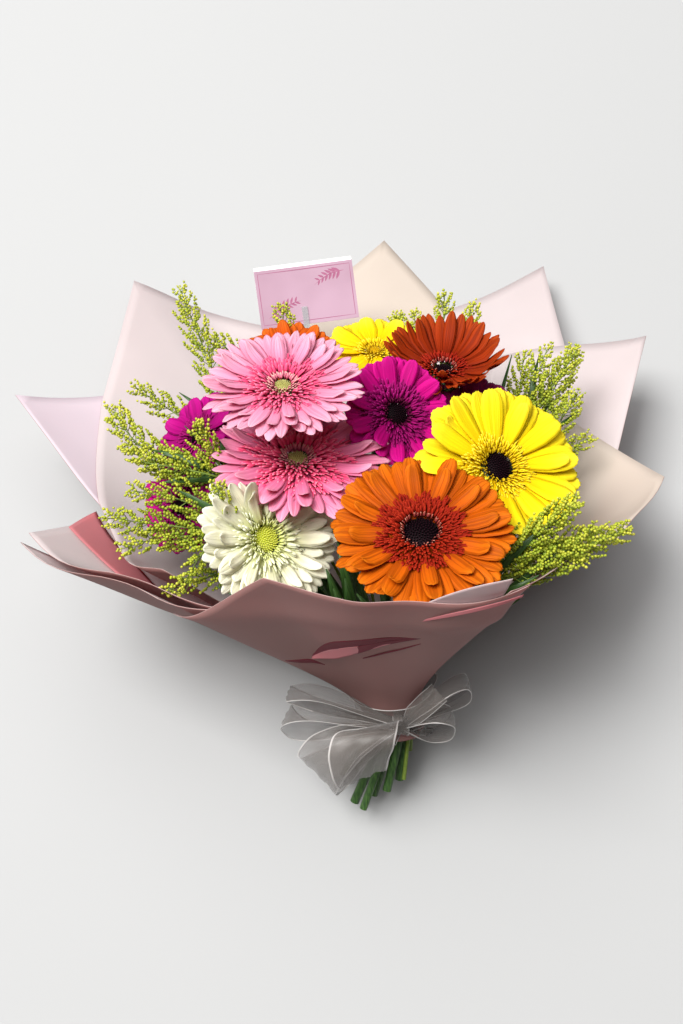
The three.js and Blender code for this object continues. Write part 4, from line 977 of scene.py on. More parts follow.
# %% The twelve blooms
BLOOMS = (
    dict(name="orange_front", at=(40.4, -52.5, 190), facing=(-0.05, 0.3, 0.955), radius=49,
         eye=0.185, width=10.8, stops=("a03c02", "cc5e04", "e07c10"), glow="ee7c0c", inner=12,
         veins=0.5, shorter=0.15, toward=(0.7, 0.9, 0.2)),
    dict(name="yellow_right", at=(83, -8.5, 172), facing=(0.28, 0.07, 0.95), radius=46, eye=0.16,
         width=12.2, stops=("f0c400", "fbe614", "fff23c"), glow="ffe400", inner=6, veins=0.22,
         longer=0.08, toward=(0.6, 0.8, 0)),
    dict(name="pink_top", at=(-31, 28.9, 192), facing=(0, 0.4, 0.915), radius=44, eye=0.1,
         width=8.6, stops=("e06c94", "ee9cbc", "fac8da"), glow="f890b8", slim=True, inner=16,
         longer=0.1, toward=(0, 1, 0.4)),
    dict(name="pink_low", at=(-24, -0.5, 163), facing=(0.05, 0.46, 0.89), radius=49, eye=0.11,
         width=9.4, stops=("dc4276", "f088b2", "fac0d6"), glow="f878a6", slim=True, inner=12,
         longer=0.18, toward=(1, 0.1, 0)),
    dict(name="white", at=(-40.3, -48, 170), facing=(0.52, -0.1, 0.85), radius=40, eye=0.17,
         width=9.6, stops=("dce094", "f8f6dc", "fffdee"), glow="f8f6d8", slim=True, inner=24,
         veins=0.12, longer=0.38, toward=(1, 0.35, 0.1)),
    dict(name="magenta_centre", at=(30.2, 30.1, 156), facing=(0.35, -0.07, 0.94), radius=33,
         eye=0.19, width=9.4, stops=("9c0468", "ca0682", "e01c9a"), glow="e01094", longer=0.12,
         toward=(0.2, 1, 0)),
    dict(name="orange_back", at=(58.7, 63.7, 140), facing=(0.03, 0.52, 0.85), radius=42, eye=0.14,
         width=7.6, stops=("7e1e04", "a43408", "bc4e16"), glow="d04c0c", slim=True, veins=0.5,
         longer=0.2, shorter=0.7, toward=(0, 0.85, -0.5)),
    dict(name="yellow_back", at=(19.6, 78.3, 136), facing=(-0.04, 0.49, 0.87), radius=31, eye=0.15,
         width=11.5, stops=("f0c400", "f8e210", "fff04c"), glow="ffe000"),
    dict(name="burgundy_back", at=(77, 35, 134), facing=(0.15, 0.42, 0.9), radius=31, eye=0.15,
         width=9.5, stops=("6c0a40", "921456", "b03c84"), glow="b01a60", longer=0.5,
         toward=(-0.4, 0.8, -0.3)),
    dict(name="magenta_left_upper", at=(-80, 24, 138), facing=(-0.55, 0.25, 0.8), radius=30,
         eye=0.17, width=10.0, stops=("8a0460", "b2067c", "cc1c96"), glow="c8108c", longer=0.3,
         toward=(-1, 0.3, 0.4)),
    dict(name="magenta_left_lower", at=(-90, -14, 128), facing=(-0.62, -0.2, 0.76), radius=28,
         eye=0.17, width=9.6, stops=("8e0460", "bc067e", "d01c96"), glow="cc0c8c", longer=0.3,
         toward=(-1, 0.1, 0.4)),
    dict(name="orange_hidden", at=(-30.3, 75.9, 132), facing=(-0.04, 0.39, 0.92), radius=31,
         eye=0.15, width=9.5, stops=("a8340a", "d4580e", "e47a26"), glow="f06c14", slim=True,
         veins=0.4),
)
print(len(BLOOMS), "blooms")

# %% [markdown]
# The petals follow those of the CAD mesh, so the two models agree. That mesh is loose
# triangles: they are gathered into islands, one for each petal, and each island gives
# its root, middle and tip.

# %% Reading the CAD petals
HUB = 0.4  # share of the radius inside which the petals run together


def islands_of(mesh, index, outside):
    """Groups of the points that share faces, among those outside the hub."""
    owner = {i: i for i in np.nonzero(outside)[0]}

    def root(i):
        while owner[i] != i:
            i = owner[i]
        return i

    for face in mesh.polygons:
        corners = [index[v] for v in face.vertices if index[v] in owner]
        for other in corners[1:]:
            owner[root(other)] = root(corners[0])
    islands = {}
    for i in owner:
        islands.setdefault(root(i), []).append(i)
    return islands.values()


def petal_lines(name, at, facing, radius):
    """Root, middle and tip of every petal of the CAD bloom."""
    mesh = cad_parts[name + "_rays"].data
    points = np.array([v.co for v in mesh.vertices]) / MM - SHIFT
    spots, index = np.unique(np.round(points, 2), axis=0, return_inverse=True)
    offset = spots - at
    reach = np.linalg.norm(offset - (offset @ facing)[:, None] * facing, axis=1)
    lines = []
    for island in islands_of(mesh, index.ravel(), reach > radius * HUB + 0.1):
        island = sorted(island, key=lambda i: reach[i])
        if len(island) < 6:
            continue
        groups = [island[:4], island[4:-2], island[-2:]]
        if len(island) == 6:
            del groups[1]
        rows = [spots[g].mean(0) for g in groups]
        if len(rows) == 2:
            rows.insert(1, rows[0] * 0.45 + rows[1] * 0.55 + facing * 1.0)
        lines.append(rows)
    return lines


def compass(facing):
    """Two directions square to the axis of a bloom."""
    right = unit(np.cross(facing, (0.0, 1.0, 0.0)))
    return right, np.cross(facing, right)


# %% [markdown]
# A real gerbera has two or three rows of petals, more than a light CAD model needs. So between every
# two of its petals one more lies a little lower, with painted shade, and some shorter ones stand on
# top, near the eye.

# %% More petals than the solid has
WIDEST_GAP = 2.6  # times the usual angle between petals: past it, nothing grows between them
DROPS = (0.8, 1.2, 1.2)


def with_those_between(found, angle, facing):
    """All long petals: their rows, width as a share, and painted shade."""
    lines = [(rows, 1.0, 0.0) for rows in found]
    for k, rows in enumerate(found):
        after = (k + 1) % len(found)
        gap = (angle[after] - angle[k]) % (2 * math.pi)
        if gap < WIDEST_GAP * 2 * math.pi / len(found):
            middle = [(a + b) / 2 - facing * drop for a, b, drop in zip(rows, found[after], DROPS)]
            # the petal between lies lower and gets 0.25 of painted shade
            lines.append((middle, 0.95, 0.25))
    return lines


def short_ones(found, facing, count, rng):
    lines = []
    for k in range(count):
        root, middle, tip = found[int((k + rng.random() * 0.5) * len(found) / count) % len(found)]
        far = rng.uniform(0.45, 0.68)
        lines.append(([root + facing * 1.2, root + (middle - root) * far + facing * 3.2,
                       root + (tip - root) * far * 0.95 + facing * 4.2], 0.8, 0.0))
    return lines


# %% [markdown]
# Every petal is one strap, bent from the middle of the bloom over its root to its tip.


# %% Petals
def petals(name, at, facing, radius, width, stops, glow, slim=False, inner=0, veins=0.3,
           longer=0.0, shorter=0.0, toward=(0, 1, 0), **rest):
    rng = random.Random(name)
    at, facing = np.array(at, float), unit(facing)
    right, up = compass(facing)
    found = petal_lines(name, at, facing, radius)
    angle = [math.atan2((rows[1] - at) @ up, (rows[1] - at) @ right) for rows in found]
    order = sorted(range(len(found)), key=lambda i: angle[i])
    found, angle = [found[i] for i in order], [angle[i] for i in order]
    lines = with_those_between(found, angle, facing) + short_ones(found, facing, inner, rng)
    cluster = Cluster()
    blank = SLIM_PETAL if slim else PETAL
    for (root, middle, tip), wide, shade in lines:
        away = root - at
        out = unit(away - (away @ facing) * facing)
        start = at + out * radius * 0.2 + facing * (away @ facing * 0.5)
        aim = float(out @ unit(toward))
        reach = rng.uniform(-0.03, 0.07)
        reach += longer * max(0.0, aim) ** 1.5 - shorter * max(0.0, -aim) ** 1.5
        end = tip + facing * rng.uniform(-1.6, 1.6) + (tip - root) * reach
        line = rounded((start, root, middle + (tip - root) * reach * 0.5, end))
        points = bent(blank, line, np.cross(out, facing), width * wide * rng.uniform(0.9, 1.06),
                      roll=rng.uniform(-0.2, 0.2), twist=rng.uniform(-0.3, 0.3),
                      cup=rng.uniform(0.0, 0.14), ripple=rng.uniform(0, 0.3))
        # the tint is random tone plus the painted shade of a lower petal
        cluster.lay(blank, points, tint=min(1, shade + rng.random() * 0.7))
    finish = petal_finish(name, *(srgb(s) for s in stops), srgb(glow), veins)
    finished(cluster.piece(name + ".petals", finish), name + "_rays", slot="petals_" + name)


for bloom in BLOOMS:
    petals(**bloom)

# %% [markdown]
# Round the eye stands a crown of short tongues, which is a shaggy ring in the pinks and
# a dense red one in the oranges. A particle system could scatter them, but real ones
# stand in the spirals of a sunflower, and the golden angle gives exactly those.

# %% What each crown is made of
GOLDEN = math.pi * (3 - math.sqrt(5))
# From inside to outside: tuft, how many, from and to (shares of the radius), length,
# width, lean outwards
CROWNS = {
    "orange_front": (("tan", 90, 0.175, 0.21, 3.0, 0.8, 0.15),
                     ("red", 900, 0.205, 0.46, 4.2, 1.5, 0.8)),
    "orange_back": (("tan", 40, 0.135, 0.17, 3.0, 0.9, 0.2),
                    ("red", 260, 0.165, 0.36, 4.4, 1.5, 0.7)),
    "orange_hidden": (("red", 110, 0.15, 0.38, 4.0, 1.4, 0.7),),
    "yellow_right": (("speck", 150, 0.16, 0.24, 3.6, 0.8, 0.35),
                     ("yellow", 420, 0.22, 0.42, 4.4, 1.0, 0.95)),
    "yellow_back": (("speck", 70, 0.1, 0.2, 2.6, 0.8, 0.3),
                    ("yellow", 110, 0.19, 0.32, 4.2, 1.3, 0.9)),
    "pink_top": (("cream", 120, 0.1, 0.2, 3.6, 1.0, 0.35),
                 ("deep-pink", 420, 0.18, 0.48, 5.8, 1.7, 0.95)),
    "pink_low": (("cream", 120, 0.11, 0.19, 3.8, 1.0, 0.3),
                 ("hot-pink", 640, 0.17, 0.58, 6.4, 1.8, 0.95)),
    "white": (("pale", 170, 0.17, 0.26, 3.6, 0.9, 0.4), ("ivory", 200, 0.25, 0.46, 6.4, 1.7, 1.0)),
    "magenta_centre": (("wine", 90, 0.18, 0.25, 3.0, 0.9, 0.35),
                       ("magenta", 420, 0.23, 0.58, 4.6, 1.4, 0.95)),
    "burgundy_back": (("wine", 180, 0.15, 0.42, 4.4, 1.3, 0.8),),
    "magenta_left_upper": (("magenta", 260, 0.17, 0.5, 4.6, 1.4, 0.9),),
    "magenta_left_lower": (("magenta", 240, 0.17, 0.5, 4.4, 1.4, 0.9),),
}
OWN_CROWN = ("orange_front", "orange_back")  # their crowns are CAD nodes of their own
LIFT, RED_LIFT = 0.9, 2.4  # how far the feet stand above the middle of the bloom

# %% [markdown]
# Tongues near the eye stand up, and those farther out lean over the petals.


# %% Crowns
def crown(name, at, facing, radius, **rest):
    rng = random.Random("crown" + name)
    at, facing = np.array(at, float), unit(facing)
    right, up = compass(facing)
    orange = name.startswith("orange")
    cluster, tufts = Cluster(), []
    for tuft, count, low, high, length, width, lean in CROWNS[name]:
        if tuft not in tufts:
            tufts.append(tuft)
        for k in range(count):
            share = math.sqrt(low**2 + (high**2 - low**2) * (k + 0.5) / count)
            out = round_axis(right, up, k * GOLDEN + rng.uniform(-0.1, 0.1))
            inside = (high - share) / max(high - low, 1e-6)
            tilt = lean * (1 - 0.55 * inside) + rng.uniform(-0.12, 0.12)
            size = length * rng.uniform(0.8, 1.15)
            lift = (RED_LIFT if orange else LIFT) + 1.8 * inside
            foot = at + out * share * radius + facing * lift
            first, then = (round_axis(facing, out, t) for t in (tilt, tilt + 0.75))
            line = rounded((foot, foot + first * size * 0.5, foot + (first + then) * size * 0.5), 8)
            side = np.cross(out, facing) + facing * rng.uniform(-0.25, 0.25)
            points = bent(TONGUE, line, side, width * rng.uniform(0.85, 1.15),
                          roll=rng.uniform(-0.4, 0.4))
            cluster.lay(TONGUE, points, tint=rng.random(), slot=tufts.index(tuft))
    obj = cluster.piece(name + ".crown", *(TUFTS[t] for t in tufts))
    nodes = [name + "_crown"] if name in OWN_CROWN else []
    finished(obj, *nodes, slot="crown_red" if orange else "petals_" + name)


# %% [markdown]
# The florets of the eye are still closed: small blunt cones, dark or green, which stand
# close together on a mound.

# %% Eyes
GREEN_EYED = {"pink_top": "soft-green", "pink_low": "soft-green", "white": "lime",
              "yellow_back": "gold"}
# across and up each floret, for its colours
CONE_CHART = np.stack((FLORET.points[:, 0] + 0.5, FLORET.points[:, 2]), -1)


def eye_of(name, at, facing, radius, eye, **rest):
    rng = random.Random("eye" + name)
    at, facing = np.array(at, float), unit(facing)
    right, up = compass(facing)
    reach = eye * radius
    cluster = Cluster()
    cluster.lay(MOUND, turned_points(MOUND, (reach * 0.98, reach * 0.98, 2.4), at + facing * 0.6,
                                     np.array((right, up, facing))), tint=0.9)
    count = int(60 + reach * 8)
    size = reach * 1.7 / math.sqrt(count)
    for k in range(count):
        share = math.sqrt((k + 0.5) / count)
        out = round_axis(right, up, k * GOLDEN)
        foot = at + out * share * reach + facing * (2.9 - 1.4 * share**2)
        lean = unit(facing + out * share * 0.7)
        points = turned_points(FLORET, (size, size, size * 1.5), foot - lean * size * 0.4,
                               turned(lean, rng.uniform(0, 6), right))
        cluster.lay(FLORET, points, tint=rng.random() * 0.6, chart=CONE_CHART)
    obj = cluster.piece(name + ".eye", EYES[GREEN_EYED.get(name, "dark")], smooth=False)
    finished(obj, name + "_eye", slot="eye_green" if name in GREEN_EYED else "eye_dark")


for bloom in BLOOMS:
    crown(**bloom)
    eye_of(**bloom)

# %% [markdown]
# Stems are round, fleshy and faintly ribbed, and their cut ends show the paler pith.

# %% Stem finishes
stem_finish = Finish("stem")
rib = stem_finish.noise(stem_finish.stretched(stem_finish.place(), (6, 1, 1)), 220)
stem_finish.use(base_color=stem_finish.blend(stem_finish.step(rib, 0.3, 0.7), srgb("22401a"),
                                             srgb("44682c")), roughness=rib * 0.25 + 0.35)
stem_finish.relief(rib, 0.0005, 0.5)
cut_finish = grained("stem.cut", "6c8048", "98a878", 900, 0.2, 0.5, detail=3)

# %% [markdown]
# Every stem runs from its cut end through the tie to its bloom, on the route that the
# CAD stem takes through the bunch, which keeps the stems apart.

# %% Routes of the stems
STEMS = {
    "orange_front": (
        (27.3, -159.2, 27.5), (34.6, -128.8, 44.2), (34.5, -116.3, 53), (34.9, -103.8, 72.8),
        (36.8, -90.5, 96.6), (39.5, -77, 124.1), (41.3, -65.2, 152.1), (41.2, -57.3, 174.8)),
    "yellow_right": (
        (35.3, -151.6, 20.6), (39.5, -124.2, 40), (38.5, -112.5, 49.5), (42, -92.4, 67.5),
        (49.2, -66.1, 86.9), (59.5, -38.1, 109.1), (70.5, -17.1, 133.9), (78.8, -9.6, 157.6)),
    "pink_top": (
        (19.8, -160, 13.3), (31.1, -127, 37.3), (31.7, -112.9, 49), (24.1, -84.4, 69.3),
        (8.7, -44, 88.1), (-10.7, -1.8, 110.7), (-26.1, 24.2, 141.9), (-31, 23.1, 178.8)),
    "pink_low": (
        (8, -164.2, 13.2), (24.1, -129.1, 37.7), (25.9, -114.3, 49.6), (17.1, -96.2, 67.2),
        (3.7, -72.9, 85.1), (-11.4, -46.5, 105), (-22.3, -22.8, 127.2), (-24.8, -7.8, 148.8)),
    "white": (
        (13.1, -169.5, 22.4), (27, -132.7, 42.9), (28.3, -117.7, 53.6), (16.7, -102.4, 73.2),
        (-6.5, -82.8, 93.6), (-33.7, -62.7, 115.5), (-50.3, -49.1, 138.3), (-47.1, -46.7, 158.9)),
    "magenta_centre": (
        (23.1, -149.9, 8.5), (32.7, -121.7, 33.7), (33, -109.4, 45.4), (29.5, -82.7, 62),
        (24, -45.6, 78.6), (19.3, -5.4, 97.8), (19.7, 23.4, 121.2), (26.4, 30.9, 145.8)),
    "orange_back": (
        (35.2, -137.9, 3.1), (39.6, -115.4, 29.7), (38.6, -104.9, 41.4), (41.1, -76.3, 56),
        (45.6, -40.1, 69.5), (51.3, 0.1, 84.9), (56.2, 35.3, 105), (58.3, 56.5, 128.3)),
    "yellow_back": (
        (23.6, -136.9, 6), (32.1, -115.7, 30.7), (32.4, -105.9, 41.6), (29.6, -75.1, 56.9),
        (26.8, -34.6, 69.3), (23.9, 11, 82.9), (21.6, 50.6, 102.4), (20, 73.3, 127.1)),
    "burgundy_back": (
        (35.4, -141.5, 15.4), (39.1, -119, 36.1), (38.1, -109, 45.7), (41.6, -84.8, 60.3),
        (49.2, -52.9, 72.6), (59.7, -16.9, 85.8), (69.6, 13.8, 103.5), (75.5, 30.7, 124.8)),
    "magenta_left_upper": (
        (2.6, -143.4, 7), (19.5, -119.2, 31.7), (22.1, -108.4, 42.8), (10.1, -82.7, 58.3),
        (-8.1, -51.3, 72.6), (-31.6, -18.1, 88.4), (-55.9, 8.5, 108.2), (-74.6, 21.5, 130.1)),
    "magenta_left_lower": (
        (0.6, -147.9, 14.4), (18.1, -122.3, 35.9), (20.9, -111.4, 45.8), (7.9, -89.3, 60.6),
        (-12.4, -61.1, 73.4), (-38.5, -32.5, 86.6), (-65, -14.1, 102.7), (-84.3, -12.1, 121)),
    "orange_hidden": (
        (16.2, -140.8, 14.6), (27.2, -118.9, 35.3), (28.3, -109.3, 44.7), (19.8, -78.8, 60.7),
        (5.7, -37, 70.8), (-11.3, 10.5, 80.3), (-24.8, 50.8, 97.1), (-29.9, 71.9, 122.6)),
}
print(len(STEMS), "stems")

# %% [markdown]
# A curve with a bevel is the natural way to draw a stem: each of its points has its own
# radius, and converting it gives a closed mesh. Twigs and the shaft of the card's pick
# are drawn in the same way.


# %% Round strands
def rod(name, strands, sides=3):
    """One mesh of round strands: each is a smooth line with a radius at every point."""
    curve = bpy.data.curves.new(name, "CURVE")
    curve.dimensions = "3D"
    curve.bevel_depth = 1
    curve.bevel_resolution = sides
    curve.use_fill_caps = True
    for line, radii in strands:
        spline = curve.splines.new("POLY")
        spline.points.add(len(line) - 1)
        spline.points.foreach_set("co", np.c_[placed(line), np.ones(len(line))].ravel())
        spline.points.foreach_set("radius", np.asarray(radii, float) * MM)
    obj = bpy.data.objects.new(name, curve)
    bpy.context.scene.collection.objects.link(obj)
    deselect()
    obj.select_set(True)
    bpy.context.view_layer.objects.active = obj
    bpy.ops.object.convert(target="MESH")
    obj = bpy.context.object
    bpy.ops.object.mode_set(mode="EDIT")
    bpy.ops.mesh.select_all(action="SELECT")
    bpy.ops.mesh.normals_make_consistent(inside=False)
    bpy.ops.object.mode_set(mode="OBJECT")
    bpy.ops.object.shade_smooth()
    return obj


def joined(main, *others):
    """The others' meshes become part of the main piece."""
    deselect()
    for obj in (main, *others):
        obj.select_set(True)
    bpy.context.view_layer.objects.active = main
    bpy.ops.object.join()
    return main


# %% [markdown]
# Under the petals the stem ends in a cup with three rings of small green leaves, the
# calyx, which shows from the side and from behind.

# %% Stems and calyces
# Rings from the lowest up: how far out, as shares of the cup, the leaves start and end,
# and how wide they are
CALYX = ((0.35, 1.25, 1.0), (0.5, 1.5, 1.15), (0.7, 1.7, 1.2))
CALYX_LEAVES = 13
STEM_STEPS = 60


def calyx(cluster, top, facing, radius, rng):
    right, up = compass(facing)
    cup = radius * 0.17
    cluster.lay(MOUND, turned_points(MOUND, (cup * 1.12, cup * 1.12, radius * 0.13),
                                     top + facing * radius * 0.17, np.array((right, up, facing))))
    for ring, (low, high, size) in enumerate(CALYX):
        for k in range(CALYX_LEAVES):
            turn = 2 * math.pi * (k + ring / 3) / CALYX_LEAVES + rng.uniform(-0.06, 0.06)
            out = round_axis(right, up, turn)
            foot = top + out * cup * low + facing * radius * (0.055 + ring * 0.025)
            knee = top + out * cup * (high - 0.2) + facing * radius * (0.15 + ring * 0.02)
            tip = top + out * cup * high * 1.1 + facing * radius * (0.25 + ring * 0.012)
            cluster.lay(LEAF, bent(LEAF, rounded((foot, knee, tip), 8), np.cross(out, facing),
                                   radius * 0.085 * size, cup=0.1))


def stem(name, facing, radius, **rest):
    rng = random.Random("stem" + name)
    facing = unit(facing)
    route = np.array(STEMS[name], float)
    thick = radius * 0.042 + 0.75
    swell = np.sin(np.linspace(0, 11, STEM_STEPS) + rng.uniform(0, 6))
    radii = np.append(thick * (1 + 0.06 * swell), thick * 1.15)
    line = np.concatenate((rounded(route, STEM_STEPS), [route[-1] + facing * radius * 0.08]))
    cluster = Cluster()
    calyx(cluster, route[-1], facing, radius, rng)
    away = unit(route[0] - route[1])
    cluster.lay(MOUND, turned_points(MOUND, (thick * 0.9, thick * 0.9, 0.35),
                                     route[0] + away * 0.05, turned(away)), slot=1)
    obj = cluster.piece(name + ".stem", stem_finish, cut_finish)
    shaft = rod(name + " shaft", [(line, radii)])
    shaft.data.materials.append(stem_finish.material)
    finished(joined(obj, shaft), name + "_stem", slot="stem_green")


for bloom in BLOOMS:
    stem(**bloom)

# %% [markdown]
# Goldenrod has round yellow-green buds on thin woody twigs, and narrow leaves. The buds are deeper
# near the foot of a plume and of each twig, and yellower out towards the tips: partly their own
# colour, partly painted shade inside the plume and painted light on its outer buds.

# %% Goldenrod finishes
bud_finish = Finish("goldenrod.bud")
# the ramp runs from painted shade deep in a plume to painted light on its outer buds
tone = bud_finish.ramp(bud_finish.tint(), (0.0, srgb("4e6a14")), (0.35, srgb("7e9420")),
                       (0.7, srgb("b0b82c")), (1.0, srgb("d6d050")))
bud_finish.use(base_color=tone,
               roughness=bud_finish.noise(bud_finish.place(), 1500, 1) * 0.3 + 0.4)
bud_finish.lets_light_through(0.2, srgb("c8d040"))
twig_finish = grained("goldenrod.twig", "4c6420", "7c8f30", 400, 0.2, 0.45)
leaf_finish = Finish("leaf")
across, along = leaf_finish.across_along()
vein = leaf_finish.noise(leaf_finish.vector(across * 9, along * 3), 1.0)
leaf_finish.use(base_color=leaf_finish.blend(leaf_finish.step(vein, 0.35, 0.65), srgb("24401a"),
                                             srgb("42662a")), roughness=vein * 0.2 + 0.35)
leaf_finish.relief(vein, 0.0004, 0.5)
leaf_finish.lets_light_through(0.2, srgb("6a9a30"))

# %% [markdown]
# Seven sprays stand between the blooms. Each has the route of its stem, its plumes as
# curved axes of three points, and its leaves as tips with a width. The wide leaves
# belong low down, where they fill the gaps between the blooms and the paper.

# %% The sprays
SPRAYS = {
    "goldenrod_left_back": (
        ((11.6, -133.6, 11.9), (24, -115.5, 32.9), (25.7, -107.2, 42.1), (14.5, -79.9, 59.9),
         (-4.8, -47.6, 76.3), (-30.5, -10.3, 89.8), (-56.2, 28.2, 97.9), (-74, 60, 100)),
        (((-56.2, 28.2, 97.9), (-81, 90.8, 98.9), (-102, 142, 100)),
         ((-48.5, 16.7, 95.5), (-89.2, 50, 99.7), (-126, 72, 104))),
        (((-96, 60, 122), 4.5),),
    ),
    "goldenrod_left_middle": (
        ((9.1, -145.3, 15.6), (23.1, -121.2, 36.2), (25, -110.8, 45.8), (17, -87.4, 69.1),
         (5.3, -60.4, 99.2), (-14.8, -32.9, 130), (-46.5, -11.7, 149.9), (-84, -2, 152)),
        (((-46.5, -11.7, 149.9), (-115, 1, 143.8), (-130.5, 41.7, 140)),
         ((-37, -18.1, 143.9), (-86.5, 1, 146.2), (-119.7, 9.5, 152)),
         ((-27.5, -24.4, 138), (-67.6, -9.5, 155.9), (-79, 13.5, 176)),
         ((-65.1, -8.7, 158), (-84.1, -6.8, 168), (-109.9, -0.1, 160)),
         ((-60.3, -10.5, 155), (-70.3, -1.1, 172), (-74.5, 15.4, 178))),
        (((-98, -14, 164), 4.5), ((-104, 8, 158), 5), ((-66, 8, 172), 5), ((-88, 26, 150), 6),
         ((-60, -30, 164), 6)),
    ),
    "goldenrod_left_front": (
        ((2.9, -148.3, 23.6), (18.9, -124, 40.4), (21.5, -113.8, 48.5), (11, -95.7, 72),
         (-3.5, -75.6, 103.4), (-23.6, -55.8, 136), (-48.9, -40.8, 156.7), (-74, -34, 158)),
        (((-48.9, -40.8, 156.7), (-95.2, -32.6, 147.7), (-130, -26, 142)),
         ((-41.3, -45.3, 150.5), (-85.2, -29.9, 142.6), (-121.4, -43.1, 138)),
         ((-33.7, -49.8, 144.3), (-68.6, -60.1, 148.5), (-92, -72, 156)),
         ((-58, -36, 156), (-71.6, -48.4, 172), (-82.5, -72.2, 164)),
         ((-50, -42, 158), (-62.3, -40.9, 190), (-63.9, -25.5, 190)),
         ((-48.9, -40.8, 156.7), (-86.5, -18.7, 166), (-114.7, -16.8, 158))),
        (((-88, -20, 170), 4.5), ((-68, -22, 178), 4.5), ((-4, -74, 166), 9), ((-2, -46, 158), 9),
         ((-8, -62, 162), 9), ((-14, -84, 170), 9), ((-66, -70, 158), 7), ((-78, -56, 150), 6),
         ((2, -66, 158), 9)),
    ),
    "goldenrod_back_left": (
        ((17.8, -130.3, 12.1), (27.5, -114, 32.7), (28.6, -106.4, 41.5), (23, -74.6, 58.3),
         (15.2, -33, 71.6), (2, 14.4, 81.9), (-18.9, 56.5, 89.7), (-44, 82, 96)),
        (((-18.9, 56.5, 89.7), (-53.8, 84.6, 98), (-79, 106, 104)),
         ((-12.6, 43.8, 87.4), (-29.7, 83.3, 106.8), (-37, 116, 124))),
        (),
    ),
    "goldenrod_back": (
        ((32.2, -130.5, 17.2), (36, -114.5, 35.4), (35.5, -107.2, 43.4), (38.8, -77.8, 60.8),
         (48.2, -39.5, 75.2), (58.7, 5.9, 87), (61.3, 50.7, 96.5), (52, 84, 104)),
        (((61.3, 50.7, 96.5), (51.3, 90, 105.6), (44, 118, 112)),
         ((60.5, 37.2, 93.7), (60.9, 90.3, 103.2), (64, 132, 110)),
         ((59.7, 23.8, 90.8), (69.5, 81.1, 100.8), (82, 127, 108)),
         ((60.5, 37.2, 93.7), (39.2, 104.5, 106), (34, 118, 106))),
        (((92, 108, 104), 4.5), ((44, 104, 112), 6), ((68, 112, 112), 6)),
    ),
    "goldenrod_right_back": (
        ((42.5, -133.3, 16.1), (42.8, -115.3, 35.4), (41.1, -107.1, 44.1), (48.6, -83.1, 59.4),
         (64.2, -54.3, 72.5), (84.3, -20.5, 83.1), (101.2, 14.7, 90.9), (108, 44, 96)),
        (((101.2, 14.7, 90.9), (107.1, 60.2, 98.4), (112, 94, 104)),
         ((96.1, 4.1, 88.6), (121, 58.5, 94.2), (145, 101, 98)),
         ((91, -6.5, 86.3), (120, 21.7, 97.1), (148, 38, 106)),
         ((101, 24, 92), (120.5, 64.8, 112), (143.6, 91.8, 112)),
         ((101, 24, 92), (110.5, 60, 112), (126, 96, 110)),
         ((96, 4, 90), (132.5, 46.7, 114), (140, 62, 112))),
        (((126, 62, 104), 4.5), ((140, 52, 110), 5), ((104, 92, 108), 6), ((120, 90, 110), 5)),
    ),
    "goldenrod_right_front": (
        ((37.5, -153.1, 30.9), (40.2, -126.5, 45.2), (39, -115.5, 52.8), (41.5, -103, 74.1),
         (45.8, -91.2, 101), (54.9, -80.5, 130.7), (71.2, -71.8, 156.6), (92, -66, 172)),
        (((71.2, -71.8, 156.6), (98.7, -51.2, 178.3), (119, -38, 194)),
         ((66.3, -74.4, 148.9), (115.2, -51.5, 163.8), (151, -42, 168)),
         ((61.4, -77, 141.1), (96.4, -45.3, 171.9), (124.9, -63.1, 180)),
         ((82, -70.3, 165), (111.1, -61.8, 184), (149.2, -43.5, 174)),
         ((78, -72, 162), (111.7, -63.2, 182), (129.3, -47.2, 182)),
         ((74, -70, 160), (100, -50, 188), (119.6, -33, 188))),
        (((104, -46, 184), 4.5), ((80, -78, 190), 4.5), ((26, -84, 172), 9), ((44, -92, 176), 9),
         ((60, -92, 180), 9), ((75, -90, 182), 9), ((8, -76, 164), 9), ((90, -84, 182), 8),
         ((100, -72, 184), 7),
         ((110, -60, 184), 7), ((34, -84, 160), 10), ((68, -84, 168), 10), ((98, -34, 170), 7)),
    ),
}
print(len(SPRAYS), "sprays,", sum(len(s[1]) for s in SPRAYS.values()), "plumes")

# %% [markdown]
# A plume is a stem with twigs in a spiral, longest near its foot, and each twig is
# lined with buds at both sides. The twigs of a spray are drawn as one curve, and the
# buds are copies of one blank, each on its own short stalk.

# %% Plumes
TWIG_PITCH, BUD_PITCH = 2.3, 1.2
LONGEST_TWIG = 18
FIRST_TWIG, FIRST_BUD = 0.16, 0.28  # shares of the plume and of the twig that stay bare
TIP_BUDS = 5
SKYWARD = np.array((0, 0, 1.0))


def bezier(a, b, c, share):
    share = np.asarray(share, float)[..., None]
    return ((1 - share)**2 * np.array(a) + 2 * share * (1 - share) * np.array(b)
            + share**2 * np.array(c))


def on_line(line, share):
    return at_share(line, np.array([share]))[0]


def buds_on(cluster, twig, out, reach, share, rng):
    count = max(3, int(reach / BUD_PITCH))
    heading = unit(twig[-1] - twig[-3])
    for j in range(count):
        far = FIRST_BUD + (1 - FIRST_BUD) * (j + 0.5) / count
        side = unit(np.cross(heading, out) * (1 if j % 2 else -1) + out * rng.uniform(-0.2, 0.9)
                    + SKYWARD * 0.35)
        lean = unit(heading * 0.7 + side * (0.75 if j < count - 1 else 0.1))
        place = on_line(twig, far) + lean * rng.uniform(0.9, 2.4)
        size = rng.uniform(1.5, 2.2) * (1 - 0.15 * far)
        # deeper inside the plume and lighter out along the twig and towards the plume's tip: painted
        # shade and painted light, with a random part
        tint = min(1, max(0, 0.25 + 0.35 * share + 0.25 * far + rng.uniform(-0.2, 0.2)))
        cluster.lay(BUD, turned_points(BUD, (size, size, size * 1.15), place,
                                       turned(lean, rng.uniform(0, 6))), tint=tint)


